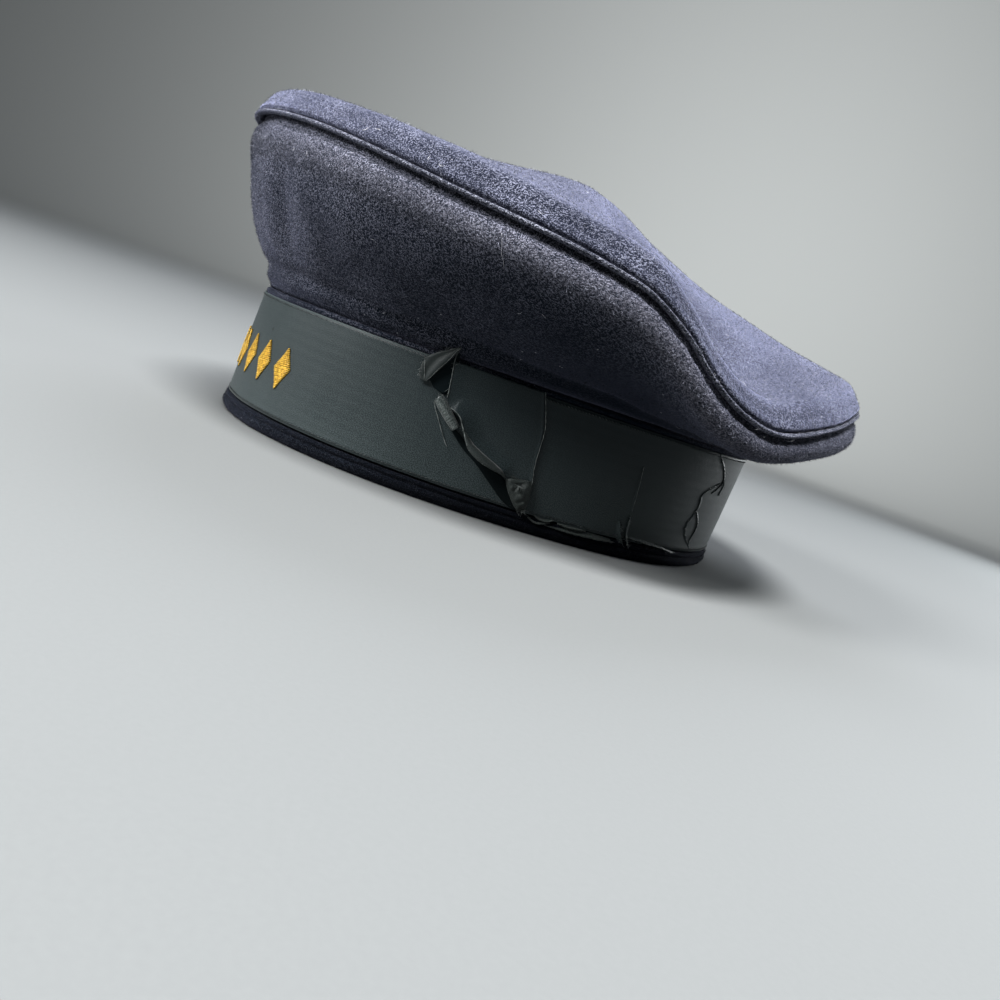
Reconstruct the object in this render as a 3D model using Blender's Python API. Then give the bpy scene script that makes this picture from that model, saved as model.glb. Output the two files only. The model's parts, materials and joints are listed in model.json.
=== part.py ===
"""Sailor cap: a wool stand with a ribbon round it, and a soft round crown with a piped edge.

The front looks along -Y, the wearer's left is +X and the cap rests on its rim at Z = 0.
The middle of the crown is at X = 0, Y = 0. Every section runs up a wall at one turn round the
cap: -90 degrees is the front, 0 the wearer's left and 90 the back.
"""

from collections import namedtuple
from math import cos, exp, pi, radians, sin, sqrt

import bmesh
import bpy
from mathutils import Vector

MM = 0.001

# Driving sizes
RIM_LENGTH = 201.0 * MM
RIM_WIDTH = 166.0 * MM
RIM_SQUARENESS = 2.1
BAND_HEIGHT = 46.5 * MM
BAND_LEAN = 3.0 * MM
BAND_CENTRE = Vector((-1.6 * MM, -6.8 * MM, 0.0))
BAND_WALL = 2.6 * MM
ROLL_HEIGHT = 6.2 * MM
ROLL_PROUD = 0.7 * MM
ROLL_FLAT_INSET = 0.6 * MM
RIBBON_WIDTH = 38.0 * MM
RIBBON_THICKNESS = 1.0 * MM
CROWN_DIAMETER = 248.0 * MM
CROWN_WALL = 2.0 * MM
CROWN_PEAK = 120.0 * MM
WELT_HEIGHT = 3.0 * MM
WELT_PROUD = 1.2 * MM
WELT_DEPTH = 3.4 * MM
SHOULDER_DEPTH = 14.0 * MM
DRAPE_POWER = 3.9
FOLD_FADE_POWER = 6
GAP = 0.3 * MM

# How finely the walls are cut
TURNS = 60
SIDE_STEPS = 7
SHOULDER_STEPS = 4
TOP_STEPS = 5
WELT_SIDES = 8
ROLL_SIDES = 8
END_STEPS = 6
FLAP_STEPS = 2
POUCH_SEGMENTS = 10
POUCH_RINGS = 6
WALK_STEP = 0.5
SHARP_ANGLE = 50.0

# One row for each section round the crown, heights and pulls in mm, angles in degrees.
# welt: height of the piped edge. leave and leave_pull: the slope at which the side leaves the
# stand, and how far it keeps it. bulge and arrive_pull: how the side comes up to the welt, a
# positive bulge swelling out under it. shoulder: how high the top rises just inside the welt.
Section = namedtuple("Section", "turn welt leave leave_pull bulge arrive_pull shoulder")
SECTIONS = (
    Section(-90, 101.0, 78, 11, 4, 29, 10.0),
    Section(-60, 98.0, 76, 12, 4, 27, 8.5),
    Section(-30, 89.5, 64, 14, 8, 23, 10.5),
    Section(-5, 82.0, 42, 16, 10, 20, 10.0),
    Section(3, 74.5, 34, 18, 12, 17, 9.0),
    Section(10, 64.5, 26, 19, 13, 14, 8.5),
    Section(17, 58.5, 18, 20, 14, 13, 8.5),
    Section(25, 57.0, 14, 21, 14, 12, 8.5),
    Section(38, 63.5, 12, 21, 12, 12, 8.0),
    Section(54, 72.0, 12, 20, 10, 17, 7.5),
    Section(90, 81.5, 28, 18, 10, 18, 8.0),
    Section(135, 88.0, 44, 16, 8, 20, 9.0),
    Section(180, 93.0, 60, 14, 6, 22, 9.5),
    Section(225, 98.5, 72, 12, 6, 26, 10.0),
)

# The rolled edge's outer face: shares of its height, and how proud it is there as a share of
# ROLL_PROUD.
RollStep = namedtuple("RollStep", "up proud")
ROLL_STEPS = (
    RollStep(0.25, 0.7),
    RollStep(0.55, 1.0),
    RollStep(0.85, 0.2),
)

# One row for each swelling or dip of the crown's top: its middle, how high it stands, its two
# half widths and the turn of the longer one, in mm and degrees.
Fold = namedtuple("Fold", "x y height along across turn")
FOLDS = (
    Fold(4, -4, 2.5, 24, 18, 100),
    Fold(14, 32, -3.0, 22, 14, 60),
    Fold(-10, 88, 4.5, 44, 26, 0),
    Fold(66, 70, -3.0, 34, 14, 130),
    Fold(56, 96, 2.0, 26, 9, 120),
)

# What is left of the bow, on the wearer's left. Places run along the ribbon from the middle of
# the front, heights run up from the rim, and lift is the clear height off the ribbon, in mm.
Strip = namedtuple("Strip", "height front back lift")
RIBBON_END = (
    Strip(15.0, 137.5, 144.0, 0.3),
    Strip(18.5, 127.0, 143.4, 0.3),
    Strip(22.5, 120.0, 142.4, 0.3),
    Strip(28.0, 114.0, 142.0, 0.3),
    Strip(34.0, 108.6, 141.0, 0.3),
    Strip(44.3, 107.2, 139.0, 0.3),
)
BOW_FLAP = (
    Strip(37.0, 100.4, 101.4, 0.35),
    Strip(40.0, 98.0, 103.4, 0.4),
    Strip(43.4, 98.6, 105.0, 1.2),
    Strip(46.2, 100.6, 106.8, 2.6),
)
BOW_ROLL = (
    Strip(33.6, 106.4, 106.4, 2.65),
    Strip(30.5, 109.6, 109.6, 2.7),
    Strip(27.5, 112.6, 112.6, 2.5),
    Strip(24.4, 115.4, 115.4, 2.0),
)
ROLL_RADII = (2.0, 1.7, 1.5, 1.1)
POUCH_PLACE = (141.0, 11.2)
POUCH_SIZE = (9.6, 6.4, 3.2)


def clear_scene():
    """Remove the objects that the file opened with."""
    for old in list(bpy.data.objects):
        bpy.data.objects.remove(old, do_unlink=True)


def make_material(name, colour, roughness, sheen=0.0):
    """A plain cloth material."""
    material = bpy.data.materials.new(name)
    material.use_nodes = True
    shader = material.node_tree.nodes["Principled BSDF"]
    shader.inputs["Base Color"].default_value = (*colour, 1.0)
    shader.inputs["Roughness"].default_value = roughness
    shader.inputs["Metallic"].default_value = 0.0
    shader.inputs["Sheen Weight"].default_value = sheen
    return material


def section_value(turn, column):
    """A column of SECTIONS at any turn in degrees, on a smooth closed curve through its rows."""
    rows = len(SECTIONS)
    turn = (turn - SECTIONS[0].turn) % 360 + SECTIONS[0].turn

    def row(index):
        whole, place = divmod(index, rows)
        return SECTIONS[place].turn + 360 * whole, getattr(SECTIONS[place], column)

    def slope(index):
        (before, low), (after, high) = row(index - 1), row(index + 1)
        return (high - low) / (after - before)

    index = max(place for place in range(rows) if SECTIONS[place].turn <= turn)
    start, low = row(index)
    end, high = row(index + 1)
    span = end - start
    part = (turn - start) / span
    return (
        low * (1 + 2 * part) * (1 - part) ** 2
        + high * part**2 * (3 - 2 * part)
        + span * slope(index) * part * (1 - part) ** 2
        + span * slope(index + 1) * part**2 * (part - 1)
    )


def band_point(turn, height, inset):
    """A point on the stand, inset from the outside of the ribbon."""
    across, along = cos(radians(turn)), sin(radians(turn))
    reach = (abs(across) ** RIM_SQUARENESS + abs(along) ** RIM_SQUARENESS) ** (-1 / RIM_SQUARENESS)
    lean = BAND_LEAN * height / BAND_HEIGHT
    return BAND_CENTRE + Vector(
        (
            (RIM_WIDTH / 2 - inset) * reach * across,
            (RIM_LENGTH / 2 - inset) * reach * along + lean,
            height,
        )
    )


def crown_point(turn, radius, height):
    """A point at a radius from the crown's middle."""
    return Vector((radius * cos(radians(turn)), radius * sin(radians(turn)), height))


def bezier(points, part):
    """A point on the curve of four control points."""
    a, b, c, d = points
    rest = 1 - part
    return a * rest**3 + b * 3 * rest**2 * part + c * 3 * rest * part**2 + d * part**3


def side_curve(turn):
    """The four control points of the crown side's outer face at a turn."""
    start = band_point(turn, BAND_HEIGHT + GAP, RIBBON_THICKNESS + GAP)
    welt = section_value(turn, "welt") * MM
    end = crown_point(turn, CROWN_DIAMETER / 2, welt - WELT_HEIGHT / 2 - GAP)
    out = (end - start) * Vector((1, 1, 0))
    out.normalize()
    leave = radians(section_value(turn, "leave"))
    leaving = out * cos(leave) + Vector((0, 0, sin(leave)))
    bulge = radians(section_value(turn, "bulge"))
    arriving = out * sin(bulge) - Vector((0, 0, cos(bulge)))
    return (
        start,
        start + leaving * section_value(turn, "leave_pull") * MM,
        end + arriving * section_value(turn, "arrive_pull") * MM,
        end,
    )


def fold_height(x, y):
    """What the folds add to the crown's top at a place."""
    total = 0.0
    for fold in FOLDS:
        dx, dy = x - fold.x * MM, y - fold.y * MM
        turn = radians(fold.turn)
        along = (dx * cos(turn) + dy * sin(turn)) / (fold.along * MM)
        across = (dy * cos(turn) - dx * sin(turn)) / (fold.across * MM)
        total += fold.height * MM * exp(-(along**2) - across**2)
    return total


def top_point(turn, radius):
    """A point on the outer face of the crown's top."""
    reach = radius / (CROWN_DIAMETER / 2)
    shoulder = section_value(turn, "shoulder") * MM
    edge = section_value(turn, "welt") * MM + WELT_HEIGHT / 2 + GAP
    drape = 1 - (1 - min(1.0, reach**2)) ** DRAPE_POWER
    height = CROWN_PEAK + (edge + shoulder - CROWN_PEAK) * drape
    x, y = radius * cos(radians(turn)), radius * sin(radians(turn))
    height += fold_height(x, y) * (1 - reach**FOLD_FADE_POWER)
    over = (radius - CROWN_DIAMETER / 2 + SHOULDER_DEPTH) / SHOULDER_DEPTH
    if over > 0:
        height -= shoulder * (1 - sqrt(max(0.0, 1 - over**2)))
    return Vector((x, y, height))


def turn_at(distance):
    """The turn at a distance along the ribbon from the middle of the front."""
    turn = -90.0
    before = band_point(turn, 0.0, 0.0)
    while distance > 0:
        turn += WALK_STEP
        after = band_point(turn, 0.0, 0.0)
        length = (after - before).length
        distance -= length
        before = after
    return turn + WALK_STEP * distance / length


def ribbon_point(distance, height, lift):
    """A point over the ribbon, from sizes in mm."""
    return band_point(turn_at(distance * MM), height * MM, -lift * MM)


def turns():
    """The turns of the sections, in degrees."""
    return [360 * step / TURNS for step in range(TURNS)]


def finish_object(name, mesh, material, wall=0.0):
    """An object from a bmesh, with a wall grown inwards where one is asked for."""
    bmesh.ops.recalc_face_normals(mesh, faces=mesh.faces)
    if mesh.calc_volume(signed=True) < 0:
        bmesh.ops.reverse_faces(mesh, faces=mesh.faces)
    data = bpy.data.meshes.new(name)
    mesh.to_mesh(data)
    mesh.free()
    data.shade_smooth()
    data.set_sharp_from_angle(angle=radians(SHARP_ANGLE))
    data.materials.append(material)
    made = bpy.data.objects.new(name, data)
    bpy.context.collection.objects.link(made)
    if wall:
        solid = made.modifiers.new("cloth wall", "SOLIDIFY")
        solid.thickness = wall
        solid.offset = -1
        solid.use_even_offset = True
    return made


def add_loop(mesh, points, closed=True):
    """A loop of vertices joined by edges."""
    verts = [mesh.verts.new(point) for point in points]
    ends = verts[1:] + verts[:1] if closed else verts[1:]
    for first, second in zip(verts, ends):
        mesh.edges.new((first, second))
    return verts


def skin(mesh, loops, closed=True):
    """Quads between each loop and the next one."""
    for low, high in zip(loops, loops[1:]):
        count = len(low)
        for place in range(count if closed else count - 1):
            after = (place + 1) % count
            mesh.faces.new((low[place], low[after], high[after], high[place]))


def ring(name, section, material):
    """A closed ring: section(turn) gives the points of its cut at each turn."""
    mesh = bmesh.new()
    cuts = [add_loop(mesh, section(turn)) for turn in turns()]
    skin(mesh, cuts + cuts[:1])
    return finish_object(name, mesh, material)


def make_headband(material):
    """The upright wool stand, with the rolled edge that carries the cap."""
    face = RIBBON_THICKNESS + GAP
    inner = face + BAND_WALL
    cut = [(inner, 0.0), (ROLL_FLAT_INSET, 0.0)]
    cut += [(-ROLL_PROUD * step.proud, ROLL_HEIGHT * step.up) for step in ROLL_STEPS]
    cut += [(face, ROLL_HEIGHT), (face, BAND_HEIGHT), (inner, BAND_HEIGHT)]
    return ring("headband", lambda turn: [band_point(turn, z, inset) for inset, z in cut], material)


def make_ribbon(material):
    """The ribbon round the stand, just above the roll."""
    bottom = ROLL_HEIGHT + GAP
    cut = (
        (RIBBON_THICKNESS, bottom),
        (0.0, bottom),
        (0.0, bottom + RIBBON_WIDTH),
        (RIBBON_THICKNESS, bottom + RIBBON_WIDTH),
    )
    return ring("ribbon", lambda turn: [band_point(turn, z, inset) for inset, z in cut], material)


def make_crown_side(material):
    """The flared side, from the top of the stand to the welt."""
    mesh = bmesh.new()
    curves = [side_curve(turn) for turn in turns()]
    loops = [
        add_loop(mesh, [bezier(curve, step / SIDE_STEPS) for curve in curves])
        for step in range(SIDE_STEPS + 1)
    ]
    skin(mesh, loops)
    return finish_object("crown_side", mesh, material, CROWN_WALL)


def make_edge_welt(material):
    """The piping between the side and the top."""
    middle = CROWN_DIAMETER / 2 + WELT_PROUD - WELT_DEPTH / 2

    def section(turn):
        welt = section_value(turn, "welt") * MM
        around = [2 * pi * side / WELT_SIDES for side in range(WELT_SIDES)]
        return [
            crown_point(
                turn,
                middle + WELT_DEPTH / 2 * cos(angle),
                welt + WELT_HEIGHT / 2 * sin(angle),
            )
            for angle in around
        ]

    return ring("edge_welt", section, material)


def make_crown_top(material):
    """The round top: its shoulder comes down to the welt."""
    mesh = bmesh.new()
    radius = CROWN_DIAMETER / 2
    flat = radius - SHOULDER_DEPTH
    over = [pi / 2 * (1 - step / SHOULDER_STEPS) for step in range(SHOULDER_STEPS)]
    radii = [flat + SHOULDER_DEPTH * sin(angle) for angle in over]
    radii += [flat * (1 - step / (TOP_STEPS + 1)) for step in range(TOP_STEPS + 1)]
    loops = [add_loop(mesh, [top_point(turn, reach) for turn in turns()]) for reach in radii]
    skin(mesh, loops)
    peak = mesh.verts.new(top_point(0, 0))
    last = loops[-1]
    for place, vert in enumerate(last):
        mesh.faces.new((vert, last[(place + 1) % len(last)], peak))
    return finish_object("crown_top", mesh, material, CROWN_WALL)


def make_strip(name, rows, columns, material):
    """A patch of ribbon cloth that lies over the ribbon, a row for each height."""
    mesh = bmesh.new()
    loops = []
    for row in rows:
        width = row.back - row.front
        places = [row.front + width * column / columns for column in range(columns + 1)]
        loops.append(add_loop(mesh, [ribbon_point(x, row.height, row.lift) for x in places], False))
    skin(mesh, loops, False)
    made = finish_object(name, mesh, material, RIBBON_THICKNESS)
    made.modifiers["cloth wall"].offset = 1
    return made


def make_bow_roll(material):
    """The rolled strip of the torn loop, a short tapering tube."""
    mesh = bmesh.new()
    path = [ribbon_point(row.front, row.height, row.lift) for row in BOW_ROLL]
    along = (path[-1] - path[0]).normalized()
    across = along.cross(Vector((1, 0, 0))).normalized()
    out = across.cross(along)
    loops = []
    for middle, radius in zip(path, ROLL_RADII):
        angles = [2 * pi * side / ROLL_SIDES for side in range(ROLL_SIDES)]
        around = [middle + (across * cos(a) + out * sin(a)) * radius * MM for a in angles]
        loops.append(add_loop(mesh, around))
    skin(mesh, loops)
    mesh.faces.new(loops[0])
    mesh.faces.new(loops[-1])
    return finish_object("bow_roll", mesh, material)


def make_bow_pouch(material):
    """The small puffed end of the torn loop."""
    mesh = bmesh.new()
    bmesh.ops.create_uvsphere(mesh, u_segments=POUCH_SEGMENTS, v_segments=POUCH_RINGS, radius=0.5)
    for vert in mesh.verts:
        along, up, lift = (size * part for size, part in zip(POUCH_SIZE, vert.co))
        lift += POUCH_SIZE[2] / 2 + GAP / MM
        vert.co = ribbon_point(POUCH_PLACE[0] + along, POUCH_PLACE[1] + up, lift)
    return finish_object("bow_pouch", mesh, material)


def main():
    """Build every piece of the cap."""
    clear_scene()
    wool = make_material("navy wool", (0.018, 0.020, 0.040), 0.95, 0.5)
    piping = make_material("navy wool piping", (0.015, 0.017, 0.035), 0.9, 0.4)
    taffeta = make_material("black ribbon", (0.012, 0.014, 0.014), 0.5)
    make_headband(wool)
    make_crown_side(wool)
    make_edge_welt(piping)
    make_crown_top(wool)
    make_ribbon(taffeta)
    make_strip("ribbon_end", RIBBON_END, END_STEPS, taffeta)
    make_strip("bow_flap", BOW_FLAP, FLAP_STEPS, taffeta)
    make_bow_roll(taffeta)
    make_bow_pouch(taffeta)


main()
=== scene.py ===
"""The sailor cap as it looks: napped navy wool, a piped edge, a ribbed black ribbon and a torn bow.

Everything stands in the CAD model's frame, in metres: the front looks along -Y, the wearer's left
is +X and the rim rests at Z = 0. A turn is an angle round the cap in degrees: -90 is the front,
0 the wearer's left and 90 the back. A place on the ribbon is a distance along it from the middle
of the front and a height from the rim. A part or a share runs from 0 to 1.
"""

import json
import logging
from collections.abc import Callable, Sequence
from dataclasses import dataclass
from enum import Enum
from math import pi, radians
from typing import NamedTuple

import bpy
import numpy as np
from bpy.types import Material, Node, NodeOutputs, NodeSocket, NodeTree, Object
from mathutils import Matrix, Vector, noise

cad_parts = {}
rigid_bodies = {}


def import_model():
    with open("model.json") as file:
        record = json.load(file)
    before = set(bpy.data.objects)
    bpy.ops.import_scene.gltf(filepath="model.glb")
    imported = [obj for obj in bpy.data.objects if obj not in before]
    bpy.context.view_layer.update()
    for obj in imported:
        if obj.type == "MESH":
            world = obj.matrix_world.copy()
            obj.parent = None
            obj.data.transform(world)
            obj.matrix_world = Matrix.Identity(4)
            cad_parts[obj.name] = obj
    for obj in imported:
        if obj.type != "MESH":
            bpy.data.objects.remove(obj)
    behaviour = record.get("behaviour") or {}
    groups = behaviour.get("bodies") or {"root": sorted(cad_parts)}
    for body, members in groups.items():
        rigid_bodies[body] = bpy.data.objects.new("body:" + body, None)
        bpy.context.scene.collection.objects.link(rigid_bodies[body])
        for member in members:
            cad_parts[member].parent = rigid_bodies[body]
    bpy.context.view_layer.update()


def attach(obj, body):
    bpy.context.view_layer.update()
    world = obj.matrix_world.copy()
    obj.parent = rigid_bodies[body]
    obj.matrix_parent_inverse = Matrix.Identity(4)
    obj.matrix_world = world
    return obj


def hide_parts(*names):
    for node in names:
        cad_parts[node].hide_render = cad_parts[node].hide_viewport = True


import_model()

MM = 0.001
TINY = 1e-12
BODY = "root"
BAKE_MAP = "OFBake"
# A point inside the cap, which tells a cloth's outer face
INSIDE = np.array([-1.6, -6.8, 50.0]) * MM
LEVEL = np.array([1.0, 1.0, 0.0])
UP = np.array([0.0, 0.0, 1.0])
log = logging.getLogger("sailor_cap")

Array = np.ndarray
Triple = tuple[float, float, float]
Course = tuple[tuple[float, ...], ...]


class Slot(Enum):
    """The cap's changeable finishes."""

    WOOL = "wool"
    RIBBON = "ribbon"


class Held(Enum):
    """What keeps a cloth piece in its shape."""

    STRETCHED = "stretched"
    FOLDED = "folded"
    LAID = "laid"
    GATHERED = "gathered"


class Kind(Enum):
    """What a socket of a node group carries."""

    NUMBER = "NodeSocketFloat"
    COLOUR = "NodeSocketColor"
    VECTOR = "NodeSocketVector"


class Hand(Enum):
    """The side of a course that something reaches to, seen along it."""

    LEFT = 1
    RIGHT = -1


class Section(NamedTuple):
    """How the crown's wall runs at one turn, with lengths in mm and angles in degrees.

    welt is the height of the piped edge. leave and leave_pull are the slope at which the side
    leaves the stand and how far it keeps it. bulge and arrive_pull are how it comes up to the
    welt. shoulder is how high the top rises just inside the welt.
    """

    turn: float
    welt: float
    leave: float
    leave_pull: float
    bulge: float
    arrive_pull: float
    shoulder: float


SECTIONS = (
    Section(-90, 101.0, 78, 11, 4, 29, 10.0),
    Section(-60, 98.0, 76, 12, 4, 27, 8.5),
    Section(-30, 89.5, 64, 14, 8, 23, 10.5),
    Section(-5, 82.0, 42, 16, 10, 20, 10.0),
    Section(3, 74.5, 34, 18, 12, 17, 9.0),
    Section(10, 64.5, 26, 19, 13, 14, 8.5),
    Section(17, 58.5, 18, 20, 14, 13, 8.5),
    Section(25, 57.0, 14, 21, 14, 12, 8.5),
    Section(38, 63.5, 12, 21, 12, 12, 8.0),
    Section(54, 72.0, 12, 20, 10, 17, 7.5),
    Section(90, 81.5, 28, 18, 10, 18, 8.0),
    Section(135, 88.0, 44, 16, 8, 20, 9.0),
    Section(180, 93.0, 60, 14, 6, 22, 9.5),
    Section(225, 98.5, 72, 12, 6, 26, 10.0),
)


class Fold(NamedTuple):
    """A swelling or dip of the crown's top, in mm, with its longer half turned by turn degrees."""

    x: float
    y: float
    height: float
    along: float
    across: float
    turn: float


FOLDS = (
    Fold(4, -4, 2.5, 24, 18, 100),
    Fold(14, 32, -3.0, 22, 14, 60),
    Fold(-10, 88, 4.5, 44, 26, 0),
    Fold(66, 70, -3.0, 34, 14, 130),
    Fold(56, 96, 2.0, 26, 9, 120),
)
# Softer forms that only the dressed cloth has
SOFT_FOLDS = (
    Fold(27, -12, 0.5, 16, 10, 35),
    Fold(56, 68, -1.6, 24, 8, 140),
    Fold(88, 80, 1.2, 22, 7, 120),
    Fold(98, 58, -0.9, 16, 7, 125),
    Fold(60, -62, 0.8, 46, 8, 45),
    Fold(78, -38, -0.9, 40, 9, 55),
    Fold(-50, 20, -1.2, 34, 14, 80),
    Fold(-40, -50, 0.9, 36, 12, 120),
    Fold(-60, 70, 0.8, 30, 10, 45),
    Fold(10, -90, -0.8, 34, 9, 10),
)


class SideFold(NamedTuple):
    """A soft crease of the crown's side: where it is, how proud in mm, and its half widths."""

    turn: float
    part: float
    height: float
    turns: float
    parts: float


SIDE_FOLDS = (
    SideFold(-88, 0.78, -2.1, 18.0, 0.24),
    SideFold(-76, 0.66, -0.7, 2.8, 0.24),
    SideFold(-70, 0.60, 0.6, 2.8, 0.28),
    SideFold(-63, 0.62, -1.1, 2.6, 0.26),
    SideFold(-55, 0.56, 0.6, 3.4, 0.26),
    SideFold(-47, 0.72, 0.7, 4.0, 0.20),
    SideFold(-38, 0.30, 0.8, 5.0, 0.16),
    SideFold(-24, 0.42, -0.9, 5.0, 0.22),
    SideFold(-8, 0.35, 1.0, 5.0, 0.20),
    SideFold(6, 0.40, -1.0, 4.0, 0.24),
    SideFold(20, 0.55, 0.9, 6.0, 0.22),
    SideFold(44, 0.45, -1.1, 5.0, 0.25),
    SideFold(78, 0.50, 1.0, 6.0, 0.30),
    SideFold(112, 0.45, -1.0, 6.0, 0.30),
    SideFold(150, 0.50, 1.1, 7.0, 0.30),
    SideFold(196, 0.45, -1.0, 6.0, 0.30),
    SideFold(236, 0.50, 0.9, 6.0, 0.30),
)


def unit(vectors: Array) -> Array:
    """Vectors brought to a length of 1."""
    return vectors / np.maximum(np.linalg.norm(vectors, axis=-1, keepdims=True), TINY)


def between(first: Array, second: Array, part: Array) -> Array:
    """Values that lie a part of the way from first to second."""
    return first * (1 - part) + second * part


def hump(away: Array, reach: float) -> Array:
    """A smooth hump: 1 where away is 0, and faded out beyond the reach."""
    return np.exp(-((away / reach) ** 2))


def arch(count: int, start: float, power: float) -> Array:
    """A row of values that rises to 1 in its middle and falls to a low start at both ends."""
    return np.sin(np.linspace(start, pi - start, count)) ** power


def around(turn: Array, middle: float, power: float) -> Array:
    """1 at the turn middle, falling to 0 on the far side of the cap."""
    return ((1 + np.cos(np.radians(turn - middle))) / 2) ** power


def twist(count: int, step: float, seed: float, layer: float = 0.0) -> Array:
    """A row of smooth random values, each a step from the last in noise space."""
    return np.array([noise.noise(Vector((row * step, seed, layer))) for row in range(count)])


def fractal(points: Array, scale: float, seed: float, octaves: int = 3) -> Array:
    """Smooth noise at points.

    Args:
        points: the points.
        scale: the size of the noise's features, in the points' own unit.
        seed: a shift that gives another noise.
        octaves: how many finer noises are added.

    Returns:
        Values of about -1 to 1, one for each point.
    """
    flat = points.reshape(-1, 3) / scale + seed
    values = [noise.fractal(Vector(point), 1.0, 2.0, octaves) for point in flat]
    return np.array(values).reshape(points.shape[:-1])


def curve(
    start: Array, end: Array, leave: Array, arrive: Array, part: Array
) -> Array:
    """A smooth curve from one place to the next.

    Args:
        start: where it starts.
        end: where it ends.
        leave: how fast it leaves the start.
        arrive: how fast it comes to the end.
        part: how far along each wanted place is.

    Returns:
        The places.
    """
    rest = 1 - part
    line = start * (1 + 2 * part) * rest**2 + end * part**2 * (3 - 2 * part)
    return line + leave * part * rest**2 - arrive * part**2 * rest


def smooth_ring(corners: Array, steps: int, roundness: float = 0.35) -> Array:
    """A smooth closed line through corners.

    Args:
        corners: the corners, one row each.
        steps: the points from one corner to the next.
        roundness: how wide the line swings at the corners.

    Returns:
        The line's points.
    """
    before, after, far = (np.roll(corners, shift, 0) for shift in (1, -1, -2))
    part = (np.arange(steps) / steps)[None, :, None]
    leave, arrive = (after - before)[:, None] * roundness, (far - corners)[:, None] * roundness
    line = curve(corners[:, None], after[:, None], leave, arrive, part)
    return line.reshape(-1, corners.shape[1])


def smooth_line(course: Course | Array, count: int, steps: int = 12) -> Array:
    """A smooth open line through corners, with its points evenly spaced.

    Args:
        course: the corners, one row each. The first two columns set the spacing.
        count: the points on the line.
        steps: the points that are worked out from one corner to the next.

    Returns:
        The line's points.
    """
    corners = np.array(course, float)
    ends = np.concatenate([2 * corners[:1] - corners[1:2], corners, 2 * corners[-1:] - corners[-2:-1]])
    part = np.linspace(0, 1, steps, endpoint=False)[:, None]
    fine = []
    for before, start, end, after in zip(ends, ends[1:], ends[2:], ends[3:]):
        fine.append(curve(start, end, (end - before) / 2, (after - start) / 2, part))
    fine.append(corners[-1:])
    line = np.concatenate(fine)
    reached = np.concatenate([[0], np.cumsum(np.linalg.norm(np.diff(line[:, :2], axis=0), axis=1))])
    at = np.linspace(0, reached[-1], count)
    return np.stack([np.interp(at, reached, column) for column in line.T], -1)


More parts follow.
